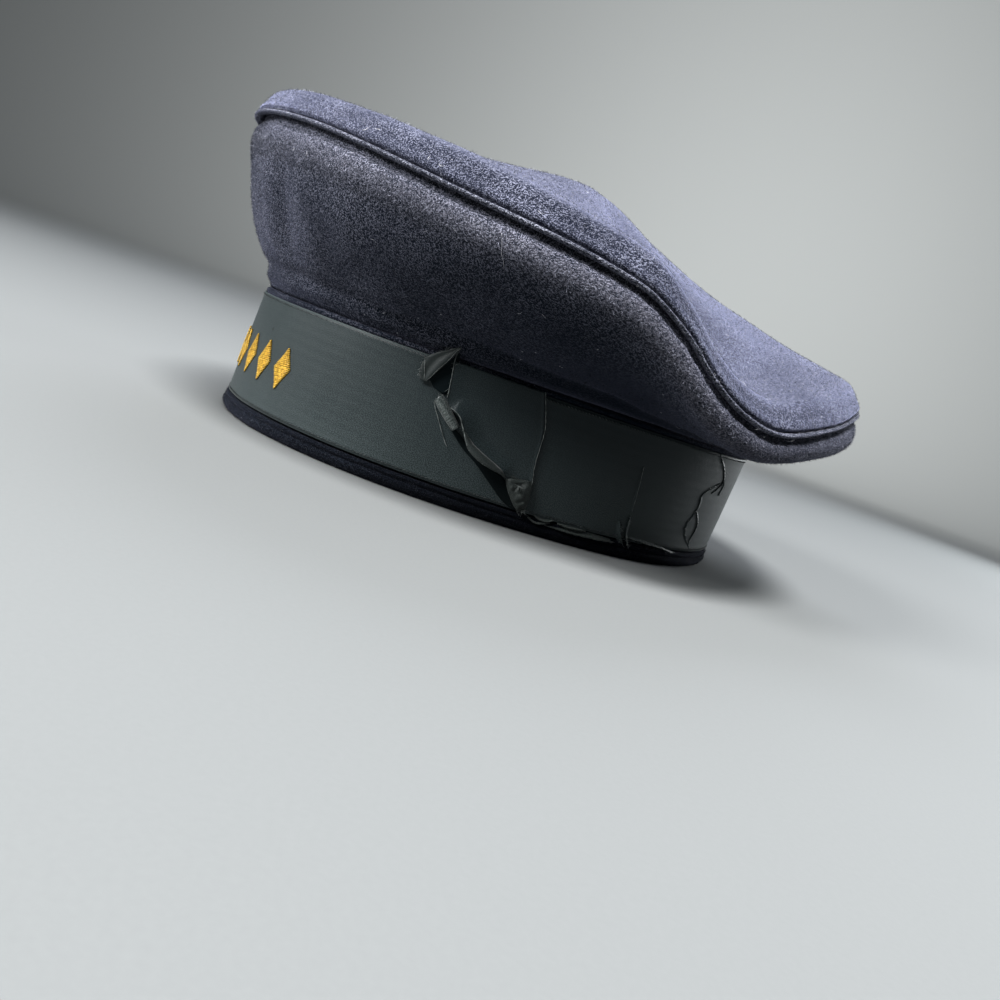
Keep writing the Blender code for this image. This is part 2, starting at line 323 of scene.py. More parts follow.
@dataclass(frozen=True)
class CapForm:
    """The cap's form as the CAD solids have it, at any fineness."""

    rim_length: float = 201.0 * MM
    rim_width: float = 166.0 * MM
    rim_squareness: float = 2.1
    band_height: float = 46.5 * MM
    band_lean: float = 3.0 * MM
    band_x: float = -1.6 * MM
    band_y: float = -6.8 * MM
    ribbon_thickness: float = 1.0 * MM
    crown_radius: float = 124.0 * MM
    peak: float = 120.0 * MM
    welt_height: float = 3.0 * MM
    shoulder_depth: float = 14.0 * MM
    drape_power: float = 3.9
    fold_fade: int = 6
    gap: float = 0.3 * MM
    # Where shade is painted: under the crown's overhang, on the strip above the ribbon and on the ribbon
    painted_shade_turn: float = 10.0
    painted_shade_power: float = 4.0
    painted_shade_reach: float = 15.0 * MM
    painted_shade_heights: tuple[float, float] = (8.0 * MM, 38.0 * MM)
    strip_reach: float = 9.0 * MM
    strip_painted_shade: float = 0.62
    walk_step: float = 0.5

    def column(self, name: str, turn: Array) -> Array:
        """A column of SECTIONS at any turns, on a smooth closed curve through its rows.

        Args:
            name: the column.
            turn: the turns, in degrees.

        Returns:
            The column's value at each turn.
        """
        rows = np.array([row.turn for row in SECTIONS], float)
        values = np.array([getattr(row, name) for row in SECTIONS], float)
        at = np.concatenate([rows[-1:] - 360, rows, rows[:2] + 360])
        value = np.concatenate([values[-1:], values, values[:2]])
        turn = (np.asarray(turn, float) - rows[0]) % 360 + rows[0]
        place = np.searchsorted(rows, turn, side="right")
        start, low, high = at[place], value[place], value[place + 1]
        span = at[place + 1] - start
        leave = (high - value[place - 1]) / (at[place + 1] - at[place - 1])
        arrive = (value[place + 2] - low) / (at[place + 2] - start)
        return curve(low, high, span * leave, span * arrive, (turn - start) / span)

    def slope(self, name: str, turn: Array) -> tuple[Array, Array]:
        """How level and how steep a column of angles is at turns, one row for each turn."""
        angle = np.radians(self.column(name, turn))[..., None]
        return np.cos(angle), np.sin(angle)

    def band(self, turn: Array, height: Array, inset: Array) -> Array:
        """Points on the stand, inset from the outside of the ribbon.

        Args:
            turn: the turns, in degrees.
            height: the heights from the rim, in metres.
            inset: how far inside the ribbon's face, in metres.

        Returns:
            The points.
        """
        across, along = np.cos(np.radians(turn)), np.sin(np.radians(turn))
        power = self.rim_squareness
        reach = (abs(across) ** power + abs(along) ** power) ** (-1 / power)
        x = self.band_x + (self.rim_width / 2 - inset) * reach * across
        y = self.band_y + (self.rim_length / 2 - inset) * reach * along
        y = y + self.band_lean * height / self.band_height
        return np.stack(np.broadcast_arrays(x, y, height), -1)

    def walk(self) -> tuple[Array, Array]:
        """A walk once round the ribbon from the front.

        Returns:
            The turns on the way in degrees, and the distance walked at each in mm.
        """
        turns = np.arange(-90.0, 270.0 + self.walk_step, self.walk_step)
        points = self.band(turns, 0.0, 0.0)
        steps = np.linalg.norm(np.diff(points, axis=0), axis=1)
        return turns, np.concatenate([[0.0], np.cumsum(steps)]) / MM

    def ribbon_length(self) -> float:
        """The ribbon's length round the stand, in mm."""
        return float(self.walk()[1][-1])

    def on_ribbon(self, distance: Array, height: Array, lift: Array) -> Array:
        """Points over the ribbon's face.

        Args:
            distance: how far along the ribbon from the middle of the front, in mm.
            height: the height from the rim, in mm.
            lift: the clear height off the ribbon, in mm.

        Returns:
            The points, in metres.
        """
        turns, reached = self.walk()
        turn = np.interp(np.asarray(distance, float) % reached[-1], reached, turns)
        return self.band(turn, np.asarray(height, float) * MM, -np.asarray(lift, float) * MM)

    def ring(self, turn: Array, radius: Array, height: Array) -> Array:
        """Points at turns, radii from the crown's middle and heights."""
        x, y = radius * np.cos(np.radians(turn)), radius * np.sin(np.radians(turn))
        return np.stack(np.broadcast_arrays(x, y, height), -1)

    def side(self, turn: Array, part: Array) -> Array:
        """Points on the outer face of the crown's side.

        Args:
            turn: the turns, in degrees.
            part: from 0 at the stand to 1 at the welt.

        Returns:
            The points.
        """
        inset = self.ribbon_thickness + self.gap
        start = self.band(turn, self.band_height + self.gap, inset)
        edge = self.column("welt", turn) * MM - self.welt_height / 2 - self.gap
        end = self.ring(turn, self.crown_radius, edge)
        out = unit((end - start) * LEVEL)
        level, steep = self.slope("leave", turn)
        near = start + (out * level + UP * steep) * self.column("leave_pull", turn)[..., None] * MM
        down, swell = self.slope("bulge", turn)
        far = end + (out * swell - UP * down) * self.column("arrive_pull", turn)[..., None] * MM
        part = np.asarray(part, float)[..., None]
        rest = 1 - part
        return (
            start * rest**3 + near * 3 * rest**2 * part + far * 3 * rest * part**2 + end * part**3
        )

    def folds(self, x: Array, y: Array, rows: Sequence[Fold]) -> Array:
        """What rows of folds add to the crown's top.

        Args:
            x: places across, in metres.
            y: places along, in metres.
            rows: the folds.

        Returns:
            The added heights, in metres.
        """
        total = np.zeros(np.broadcast(x, y).shape)
        for fold in rows:
            dx, dy = x - fold.x * MM, y - fold.y * MM
            turn = radians(fold.turn)
            along = (dx * np.cos(turn) + dy * np.sin(turn)) / (fold.along * MM)
            across = (dy * np.cos(turn) - dx * np.sin(turn)) / (fold.across * MM)
            total += fold.height * MM * np.exp(-(along**2) - across**2)
        return total

    def top(self, turn: Array, radius: Array) -> Array:
        """Points on the outer face of the crown's top.

        Args:
            turn: the turns, in degrees.
            radius: the distances from the crown's middle, in metres.

        Returns:
            The points.
        """
        reach = radius / self.crown_radius
        shoulder = self.column("shoulder", turn) * MM
        edge = self.column("welt", turn) * MM + self.welt_height / 2 + self.gap
        drape = 1 - (1 - np.minimum(1.0, reach**2)) ** self.drape_power
        height = self.peak + (edge + shoulder - self.peak) * drape
        points = self.ring(turn, radius, height)
        fade = 1 - reach**self.fold_fade
        height = height + self.folds(points[..., 0], points[..., 1], FOLDS + SOFT_FOLDS) * fade
        over = np.clip((radius - self.crown_radius) / self.shoulder_depth + 1, 0, 1)
        points[..., 2] = height - shoulder * (1 - np.sqrt(np.maximum(0.0, 1 - over**2)))
        return points

    def shelter(self, points: Array) -> Array:
        """Painted shade on points of the crown's side, strongest under its overhang and fading towards the
        welt.

        Args:
            points: the points.

        Returns:
            Values from 0 for none to 1.
        """
        turn = np.degrees(np.arctan2(points[..., 1], points[..., 0]))
        inward = self.crown_radius - np.linalg.norm(points[..., :2], axis=-1)
        away = np.hypot(inward, self.column("welt", turn) * MM - points[..., 2])
        under = around(turn, self.painted_shade_turn, self.painted_shade_power)
        return under * (1 - hump(away, self.painted_shade_reach))

    def wool_painted_shade(self, points: Array) -> Array:
        """Painted shade on points of the side's cloth and on the strip just above the ribbon, from 0 to 1."""
        strip = hump(points[..., 2] - self.band_height, self.strip_reach)
        return np.maximum(self.shelter(points), self.strip_painted_shade * strip)

    def ribbon_painted_shade(self, points: Array) -> Array:
        """Painted shade on points of the ribbon, growing towards its top under the crown, from 0 to 1."""
        low, high = self.painted_shade_heights
        return self.shelter(points) * np.clip((points[..., 2] - low) / (high - low), 0, 1)


FORM = CapForm()


def make_object(
    name: str, points: Array, faces: Sequence[Array], smooth: bool = True
) -> Object:
    """A mesh object from arrays.

    Args:
        name: the object's name.
        points: the points, one row each.
        faces: arrays of faces, each with one number of corners, in any number.
        smooth: whether the faces are shaded smooth.

    Returns:
        The object, linked to the scene.
    """
    data = bpy.data.meshes.new(name)
    corners = np.concatenate([part.ravel() for part in faces]).astype(np.int32)
    counts = np.concatenate([np.full(len(part), part.shape[1]) for part in faces])
    starts = np.concatenate([[0], np.cumsum(counts)[:-1]]).astype(np.int32)
    data.vertices.add(len(points))
    data.vertices.foreach_set("co", np.asarray(points, np.float32).ravel())
    data.loops.add(len(corners))
    data.loops.foreach_set("vertex_index", corners)
    data.polygons.add(len(counts))
    data.polygons.foreach_set("loop_start", starts)
    data.update(calc_edges=True)
    data.validate()
    data.polygons.foreach_set("use_smooth", np.full(len(counts), smooth))
    made = bpy.data.objects.new(name, data)
    bpy.context.scene.collection.objects.link(made)
    return made


def at_corners(values: Array, quads: Array) -> list[Array]:
    """The values at the first, second, third and fourth corners of quads."""
    return [values.reshape(-1, 3)[quads[:, corner]] for corner in range(4)]


@dataclass
class ClothGrid:
    """A face of cloth as rows and columns of points. Its columns may close into a ring."""

    points: Array
    closed: bool = True

    def steps(self) -> tuple[Array, Array]:
        """The change along a row and along a column at each point.

        Returns:
            The two changes.
        """
        if self.closed:
            along = np.roll(self.points, -1, 1) - np.roll(self.points, 1, 1)
        else:
            along = np.gradient(self.points, axis=1)
        return along, np.gradient(self.points, axis=0)

    def normals(self) -> Array:
        """The way out of the cloth at each point, away from the cap's inside.

        Returns:
            One direction for each point.
        """
        normal = unit(np.cross(*self.steps()))
        outward = (normal * (self.points - INSIDE)).sum(-1).mean()
        return normal if outward > 0 else -normal

    def push(self, amount: Array) -> None:
        """Move each point out of the cloth by an amount, in metres."""
        self.points = self.points + self.normals() * np.asarray(amount)[..., None]

    def faces(self) -> Array:
        """The quads, facing out.

        Returns:
            One row of four point numbers for each quad.
        """
        rows, columns = self.points.shape[:2]
        index = np.arange(rows * columns).reshape(rows, columns)
        after = np.roll(index, -1, 1)
        last = columns if self.closed else columns - 1
        low, high = index[:-1, :last], index[1:, :last]
        low_after, high_after = after[:-1, :last], after[1:, :last]
        quads = np.stack([low, low_after, high_after, high], -1).reshape(-1, 4)
        first, second, third, _ = at_corners(self.points, quads)
        facing = np.cross(second - first, third - first)
        outward = (facing * (first - INSIDE)).sum()
        return quads if outward > 0 else quads[:, ::-1]

    def sizes(self, quads: Array) -> Array:
        """Twice the area of each quad."""
        first, second, third, fourth = at_corners(self.points, quads)
        return np.linalg.norm(np.cross(third - first, fourth - second), axis=-1)

    def area(self) -> float:
        """The cloth's area, in square metres."""
        return float(self.sizes(self.faces()).sum() / 2)

    def build(self, name: str, peak: Array | None = None) -> Object:
        """The cloth's mesh object.

        Args:
            name: the object's name.
            peak: a point that closes the last row, where it does.

        Returns:
            The object.
        """
        points, faces = self.points.reshape(-1, 3), [self.faces()]
        if peak is not None:
            columns = self.points.shape[1]
            last = np.arange(len(points) - columns, len(points))
            tip = np.full(columns, len(points))
            fan = np.stack([last, np.roll(last, -1), tip], -1)
            lead = list(faces[0][-1])
            turned = lead.index(last[-1]) - lead.index(last[0])
            faces.append(fan if turned in (1, -3) else fan[:, ::-1])
            points = np.concatenate([points, peak.reshape(1, 3)])
        return make_object(name, points, faces)

    def scatter(self, count: int, seed: int) -> tuple[Array, Array]:
        """Places spread evenly over the cloth.

        Args:
            count: how many.
            seed: the seed of the spread.

        Returns:
            The points and the cloth's normals there.
        """
        dice = np.random.default_rng(seed)
        quads = self.faces()
        size = self.sizes(quads)
        chosen = quads[dice.choice(len(quads), count, p=size / size.sum())]
        u, v = dice.random((2, count, 1))
        shares = ((1 - u) * (1 - v), u * (1 - v), u * v, (1 - u) * v)
        found = []
        for values in (self.points, self.normals()):
            corners = at_corners(values, chosen)
            found.append(sum(corner * share for corner, share in zip(corners, shares)))
        return found[0], unit(found[1])


def tubes(
    name: str, paths: Sequence[Array], radii: Sequence[float], sides: int = 5
) -> Object:
    """Threads as closed tubes in one mesh.

    Args:
        name: the object's name.
        paths: the points down the middle of each thread, in metres.
        radii: each thread's radius, in metres.
        sides: the sides of a tube.

    Returns:
        The object.
    """
    points, quads, caps, first = [], [], [], 0
    angles = np.arange(sides) * 2 * pi / sides
    for path, radius in zip(paths, radii):
        count = len(path)
        tangent = unit(np.gradient(path, axis=0))
        guide = np.eye(3)[np.argmin(abs(tangent).mean(0))]
        across = unit(np.cross(tangent, guide))
        out = np.cross(tangent, across)
        from_start = np.arange(count) + 1.5
        taper = np.clip(np.minimum(from_start, count + 2 - from_start) / 2, 0, 1)
        ring = across[:, None] * np.cos(angles)[None, :, None]
        ring = ring + out[:, None] * np.sin(angles)[None, :, None]
        points.append((path[:, None] + ring * (radius * taper)[:, None, None]).reshape(-1, 3))
        index = first + np.arange(count * sides).reshape(count, sides)
        after = np.roll(index, -1, 1)
        quads.append(np.stack([index[:-1], index[1:], after[1:], after[:-1]], -1).reshape(-1, 4))
        caps += [index[0], index[-1][::-1]]
        first += count * sides
    return make_object(name, np.concatenate(points), [np.concatenate(quads), np.array(caps)])


def keep_values(made: Object, name: str, values: Array) -> None:
    """Keep a value at each point for the finishes."""
    layer = made.data.attributes.new(name, "FLOAT", "POINT")
    layer.data.foreach_set("value", values.astype(np.float32).ravel())


def keep_places(made: Object, places: Array) -> None:
    """Keep where each point lies on the flat ribbon, in metres, for its finish."""
    layer = made.data.attributes.new("place", "FLOAT_VECTOR", "POINT")
    layer.data.foreach_set("vector", places.astype(np.float32).ravel())


def thicken(piece: Object, wall: float) -> None:
    """Give a cloth face its thickness, grown towards the inside.

    Args:
        piece: the cloth face.
        wall: the thickness, in metres.
    """
    solid = piece.modifiers.new("cloth wall", "SOLIDIFY")
    solid.thickness = wall
    solid.offset = -1
    solid.use_even_offset = False


def close_round(piece: Object) -> None:
    """Join the first and last rows of a cloth that closes on itself."""
    merge = piece.modifiers.new("closed round", "WELD")
    merge.merge_threshold = 0.01 * MM


def wear(piece: Object, material: Material, slot: Slot) -> None:
    """Dress a piece in a material, let it ride with the cap and report it.

    Args:
        piece: the piece.
        material: its material.
        slot: the finish it belongs to; not used.
    """
    piece.data.materials.append(material)
    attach(piece, BODY)
    log.info("%s: %d faces", piece.name, len(piece.data.polygons))


class Cut(NamedTuple):
    """How a cloth piece was cut and held: its flat size in metres and the node that it lies on."""

    flat: tuple[float, float]
    held: Held
    rests_on: tuple[str, ...] = ()

    def replace(self, piece: Object, node: str, area: float | None = None) -> None:
        """Put a dressed piece in the place of its CAD node by hiding the node."""
        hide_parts(node)
        self.declare(piece, area)

    def declare(
        self,
        piece: Object,
        area: float | None = None,
        with_pieces: Sequence[Object | str] = (),
    ) -> None:
        """Does nothing: what a piece is cut from is not recorded.

        Args:
            piece: the piece; not used.
            area: its flat area in square metres, where the cut isn't a rectangle; not used.
            with_pieces: the separate pieces on it; not used.
        """


class Graph:
    """A node tree that is written a node at a time."""

    def __init__(self, tree: NodeTree) -> None:
        """Keep the tree to write in."""
        self.tree = tree

    def node(self, kind: str, **settings: object) -> Node:
        """Add a node.

        Args:
            kind: the node's type.
            settings: its properties by name.

        Returns:
            The node.
        """
        made = self.tree.nodes.new(kind)
        for name, value in settings.items():
            setattr(made, name, value)
        return made

    def feed(self, socket: NodeSocket, value: object) -> None:
        """Link a socket to another, or set its value.

        Args:
            socket: the socket.
            value: another socket, or a plain value. A colour may leave out its alpha.
        """
        if isinstance(value, NodeSocket):
            self.tree.links.new(value, socket)
        elif socket.type == "RGBA":
            socket.default_value = (*value[:3], 1)
        else:
            socket.default_value = value

    def fill(self, node: Node, values: dict[str, object]) -> Node:
        """Feed a node's inputs by name."""
        for name, value in values.items():
            self.feed(node.inputs[name], value)
        return node

    def maths(self, operation: str, *values: object, clamp: bool = False) -> NodeSocket:
        """One step of arithmetic.

        Args:
            operation: the Math node's operation.
            values: its inputs, numbers or sockets.
            clamp: whether the result stays between 0 and 1.

        Returns:
            The result's socket.
        """
        made = self.node("ShaderNodeMath", operation=operation, use_clamp=clamp)
        for socket, value in zip(made.inputs, values):
            self.feed(socket, value)
        return made.outputs[0]

    def times(self, first: object, second: object, more: object = 0.0) -> NodeSocket:
        """Two values multiplied, and more added to them."""
        return self.maths("MULTIPLY_ADD", first, second, more)

    def mixed(self, first: object, second: object, share: float) -> NodeSocket:
        """Two values added, with the second one's share of the whole."""
        return self.times(first, 1 - share, self.times(second, share))

    def blend(self, share: object, first: object, second: object) -> NodeSocket:
        """A colour between two."""
        made = self.node("ShaderNodeMix", data_type="RGBA")
        return self.fill(made, {"Factor": share, "A": first, "B": second}).outputs["Result"]

    def spread(self, value: object, low: float, high: float) -> NodeSocket:
        """A value's smooth place between two others."""
        made = self.node("ShaderNodeMapRange", interpolation_type="SMOOTHSTEP")
        return self.fill(made, {"Value": value, "From Min": low, "From Max": high}).outputs["Result"]

    def cloud(
        self, place: object, scale: object, detail: float = 2.0, rough: float = 0.5
    ) -> NodeSocket:
        """Smooth noise, from 0 to 1."""
        values = {"Vector": place, "Scale": scale, "Detail": detail, "Roughness": rough}
        return self.fill(self.node("ShaderNodeTexNoise"), values).outputs["Fac"]

    def stretched(
        self, place: object, scale: Triple, rotation: Triple = (0.0, 0.0, 0.0)
    ) -> NodeSocket:
        """Coordinates whose noise is drawn out into strands."""
        values = {"Vector": place, "Scale": scale, "Rotation": rotation}
        return self.fill(self.node("ShaderNodeMapping"), values).outputs["Vector"]

    def specks(self, place: object, scale: float, size: float, share: float) -> NodeSocket:
        """Scattered dots, 1 in a dot and 0 elsewhere.

        Args:
            place: the coordinates.
            scale: cells to a metre.
            size: a dot's radius as a share of a cell.
            share: the share of the cells with a dot.

        Returns:
            The mask's socket.
        """
        cells = self.node("ShaderNodeTexVoronoi", feature="F1")
        self.fill(cells, {"Vector": place, "Scale": scale})
        split = self.fill(self.node("ShaderNodeSeparateColor"), {"Color": cells.outputs["Color"]})
        near = self.maths("LESS_THAN", cells.outputs["Distance"], size)
        return self.maths("MULTIPLY", near, self.maths("LESS_THAN", split.outputs["Red"], share))

    def bump(self, height: object, depth: float) -> NodeSocket:
        """A normal from a height of 0 to 1 that stands for a depth in metres."""
        made = self.node("ShaderNodeBump")
        return self.fill(made, {"Strength": 1.0, "Distance": depth, "Height": height}).outputs["Normal"]

    def kept(self, name: str, output: str = "Fac") -> NodeSocket:
        """What the mesh keeps at each point under a name."""
        return self.node("ShaderNodeAttribute", attribute_name=name).outputs[output]

    def place(self) -> NodeSocket:
        """The place on the object, in metres."""
        return self.node("ShaderNodeTexCoord").outputs["Object"]

    def group(self, tree: NodeTree, values: dict[str, object]) -> NodeOutputs:
        """Place a group, feed its inputs by name and give its outputs."""
        return self.fill(self.node("ShaderNodeGroup", node_tree=tree), values).outputs


class Socket(NamedTuple):
    """A group's input or output: its name, kind and starting value."""

    name: str
    kind: Kind
    value: object = None


def new_group(
    name: str, inputs: Sequence[Socket], outputs: Sequence[Socket]
) -> tuple[Graph, NodeOutputs, Node]:
    """An empty node group with named sockets.

    Args:
        name: the group's name.
        inputs: its inputs.
        outputs: its outputs.

    Returns:
        Its graph, the sockets that it is given, and the node that its results go to.
    """
    tree = bpy.data.node_groups.new(name, "ShaderNodeTree")
    for way, rows in (("INPUT", inputs), ("OUTPUT", outputs)):
        for row in rows:
            made = tree.interface.new_socket(row.name, in_out=way, socket_type=row.kind.value)
            if row.value is not None:
                made.default_value = row.value
    graph = Graph(tree)
    return graph, graph.node("NodeGroupInput").outputs, graph.node("NodeGroupOutput")


@dataclass(frozen=True)
class FeltedNap:
    """The felted surface of melton wool: a speckle of fibres, soft patches and lint, with painted light on
    the band under the welt and painted shade under the crown.
    """

    strand_scale: Triple = (1.0, 0.3, 0.7)
    strand_turn: Triple = (0.5, 0.3, 0.9)
    strand_share: float = 0.45
    tangle_scale: float = 0.36
    tangle_share: float = 0.14
    fibre_span: tuple[float, float] = (0.47, 0.60)
    patch_span: tuple[float, float] = (0.3, 0.75)
    patch_floor: float = 0.6
    patch_gain: float = 0.45
    # Painted light on the band under the welt, and painted shade under the crown
    painted_light_span: tuple[float, float] = (0.25, 0.6)
    painted_light_pale: Triple = (0.192, 0.19, 0.222)
    painted_light_dark: Triple = (0.05, 0.05, 0.063)
    painted_shade_strength: float = 0.95
    lint_colour: Triple = (0.42, 0.42, 0.45)
    lint_cells: float = 240.0
    lint_size: float = 0.075
    lint_share: float = 0.16

    def make(self) -> NodeTree:
        """The node group.

        Returns:
            Its tree.
        """
        graph, given, result = new_group(
            "felted nap",
            (
                Socket("Place", Kind.VECTOR),
                Socket("Shade", Kind.COLOUR, (0.01, 0.01, 0.03, 1)),
                Socket("Light", Kind.COLOUR, (0.05, 0.05, 0.09, 1)),
                Socket("Fibres", Kind.NUMBER, 2600.0),
                Socket("Patches", Kind.NUMBER, 55.0),
                Socket("Lint", Kind.NUMBER, 0.5),
                Socket("Rub", Kind.NUMBER, 0.0),
                Socket("Shelter", Kind.NUMBER, 0.0),
            ),
            (Socket("Color", Kind.COLOUR), Socket("Height", Kind.NUMBER), Socket("Lint", Kind.NUMBER)),
        )
        place, fibres = given["Place"], given["Fibres"]
        strand_place = graph.stretched(place, self.strand_scale, self.strand_turn)
        speckle = graph.cloud(place, fibres, 1.0)
        strands = graph.cloud(strand_place, fibres, 1.0)
        tangle = graph.cloud(place, graph.times(fibres, self.tangle_scale), 2.0, 0.6)
        height = graph.mixed(graph.mixed(speckle, strands, self.strand_share), tangle, self.tangle_share)
        patch = graph.spread(graph.cloud(place, given["Patches"], 3.0, 0.55), *self.patch_span)
        patchy = graph.times(patch, self.patch_gain, self.patch_floor)
        share = graph.maths("MULTIPLY", graph.spread(height, *self.fibre_span), patchy, clamp=True)
        # Painted light on the band under the welt: paler fibres and a paler dark tone
        rub = graph.times(given["Rub"], graph.spread(tangle, *self.painted_light_span))
        light = graph.blend(rub, given["Light"], self.painted_light_pale)
        shade = graph.blend(rub, given["Shade"], self.painted_light_dark)
        # Painted shade under the crown's overhang: fewer pale fibres
        unshaded = graph.times(given["Shelter"], -self.painted_shade_strength, 1.0)
        colour = graph.blend(graph.times(share, unshaded), shade, light)
        lint = graph.specks(place, self.lint_cells, self.lint_size, self.lint_share)
        lint = graph.times(lint, given["Lint"])
        colour = graph.blend(lint, colour, self.lint_colour)
        graph.fill(result, {"Color": colour, "Height": height, "Lint": lint})
        return graph.tree


@dataclass(frozen=True)
class RibbedWeave:
    """The ribbed weave of the ribbon: ribs across it, warp between them, and its selvedges."""

    wander: float = 0.6 * MM
    warp_depth: float = 0.12
    rib_share: float = 0.25
    grain: float = 3400.0
    grain_span: tuple[float, float] = (0.4, 0.62)
    slub_scale: Triple = (1.0, 0.06, 1.0)
    slub: float = 420.0
    patches: float = 34.0
    patch_share: float = 0.55
    selvedge: tuple[float, float] = (0.2 * MM, 0.6 * MM)
    selvedge_reach: float = 10.0 * MM
    dust: float = 620.0
    dust_span: tuple[float, float] = (0.60, 0.78)

    def make(self) -> NodeTree:
        """The node group.

        Returns:
            Its tree.
        """
        graph, given, result = new_group(
            "ribbed weave",
            (
                Socket("Place", Kind.VECTOR),
                Socket("Ribs", Kind.NUMBER, 1900.0),
                Socket("Wear", Kind.NUMBER, 0.5),
                Socket("Bottom", Kind.NUMBER, 6.5 * MM),
                Socket("Top", Kind.NUMBER, 44.5 * MM),
            ),
            tuple(Socket(name, Kind.NUMBER) for name in ("Height", "Slub", "Grain", "Selvedge", "Dust")),
        )
        place, ribs = given["Place"], given["Ribs"]
        split = graph.fill(graph.node("ShaderNodeSeparateXYZ"), {"Vector": place}).outputs
        wandered = graph.times(graph.cloud(place, 60.0, 1.0), self.wander, split["X"])
        turn = graph.times(wandered, ribs)
        rib = graph.times(graph.maths("SINE", graph.times(turn, 2 * pi)), 0.5, 0.5)
        warp = graph.maths("SINE", graph.times(split["Y"], ribs))
        warp = graph.times(warp, self.warp_depth, self.warp_depth)
        grain = graph.cloud(place, self.grain, 1.0)
        height = graph.times(rib, self.rib_share, graph.maths("ADD", warp, grain))
        slub = graph.cloud(graph.stretched(place, self.slub_scale), self.slub, 3.0, 0.6)
        slub = graph.mixed(slub, graph.cloud(place, self.patches, 3.0, 0.55), self.patch_share)
        low = graph.maths("SUBTRACT", split["Y"], given["Bottom"])
        high = graph.maths("SUBTRACT", given["Top"], split["Y"])
        inner = graph.spread(graph.maths("MINIMUM", low, high), *self.selvedge)
        # Pieces cut from the ribbon have no selvedge and lie apart in Z
        whole = graph.maths("LESS_THAN", split["Z"], self.selvedge_reach)
        selvedge = graph.times(graph.maths("SUBTRACT", 1.0, inner), whole)
        dust = graph.spread(graph.cloud(place, self.dust, 5.0, 0.75), *self.dust_span)
        values = {
            "Height": height,
            "Slub": slub,
            "Grain": graph.spread(grain, *self.grain_span),
            "Selvedge": selvedge,
            "Dust": graph.times(dust, given["Wear"]),
        }
        graph.fill(result, values)
        return graph.tree


def plain_material(name: str) -> tuple[Material, Graph, Node]:
    """A material to fill.

    Args:
        name: its name.

    Returns:
        The material, its graph and its Principled shader.
    """
    material = bpy.data.materials.new(name)
    material.use_nodes = True
    shader = material.node_tree.nodes["Principled BSDF"]
    return material, Graph(material.node_tree), shader


@dataclass(frozen=True)
class WoolFinish:
    """Napped wool cloth."""

    name: str
    shade: Triple
    light: Triple
    sheen: float = 0.22
    fibres: float = 3300.0
    lint: float = 0.5
    nap_depth: float = 0.3 * MM
    roughness: float = 0.95
    gloss: float = 0.08
    sheen_roughness: float = 0.45
    sheen_tint: Triple = (0.55, 0.58, 0.85)

    def make(self, nap: NodeTree) -> Material:
        """The material.

        Args:
            nap: the shared nap group.

        Returns:
            The material.
        """
        material, graph, shader = plain_material(self.name)
        given = {
            "Place": graph.place(),
            "Shade": self.shade,
            "Light": self.light,
            "Fibres": self.fibres,
            "Lint": self.lint,
            # The painted light and painted shade that the pieces keep at their points
            "Rub": graph.kept("rub"),
            "Shelter": graph.kept("shelter"),
        }
        cloth = graph.group(nap, given)
        values = {
            "Base Color": cloth["Color"],
            "Roughness": self.roughness,
            "Specular IOR Level": self.gloss,
            "Sheen Weight": self.sheen,
            "Sheen Roughness": self.sheen_roughness,
            "Sheen Tint": self.sheen_tint,
            "Normal": graph.bump(cloth["Height"], self.nap_depth),
        }
        graph.fill(shader, values)
        return material


@dataclass(frozen=True)
class NapFinish:
    """The fibres that stand out of the wool."""

    name: str
    dark: Triple
    pale: Triple
    roughness: float = 0.9
    gloss: float = 0.1
    sheen: float = 0.15

    def make(self) -> Material:
        """The material, in which each fibre has its own tone.

        Returns:
            The material.
        """
        material, graph, shader = plain_material(self.name)
        values = {
            "Base Color": graph.blend(graph.kept("tone"), self.dark, self.pale),
            "Roughness": self.roughness,
            "Specular IOR Level": self.gloss,
            "Sheen Weight": self.sheen,
        }
        graph.fill(shader, values)
        return material


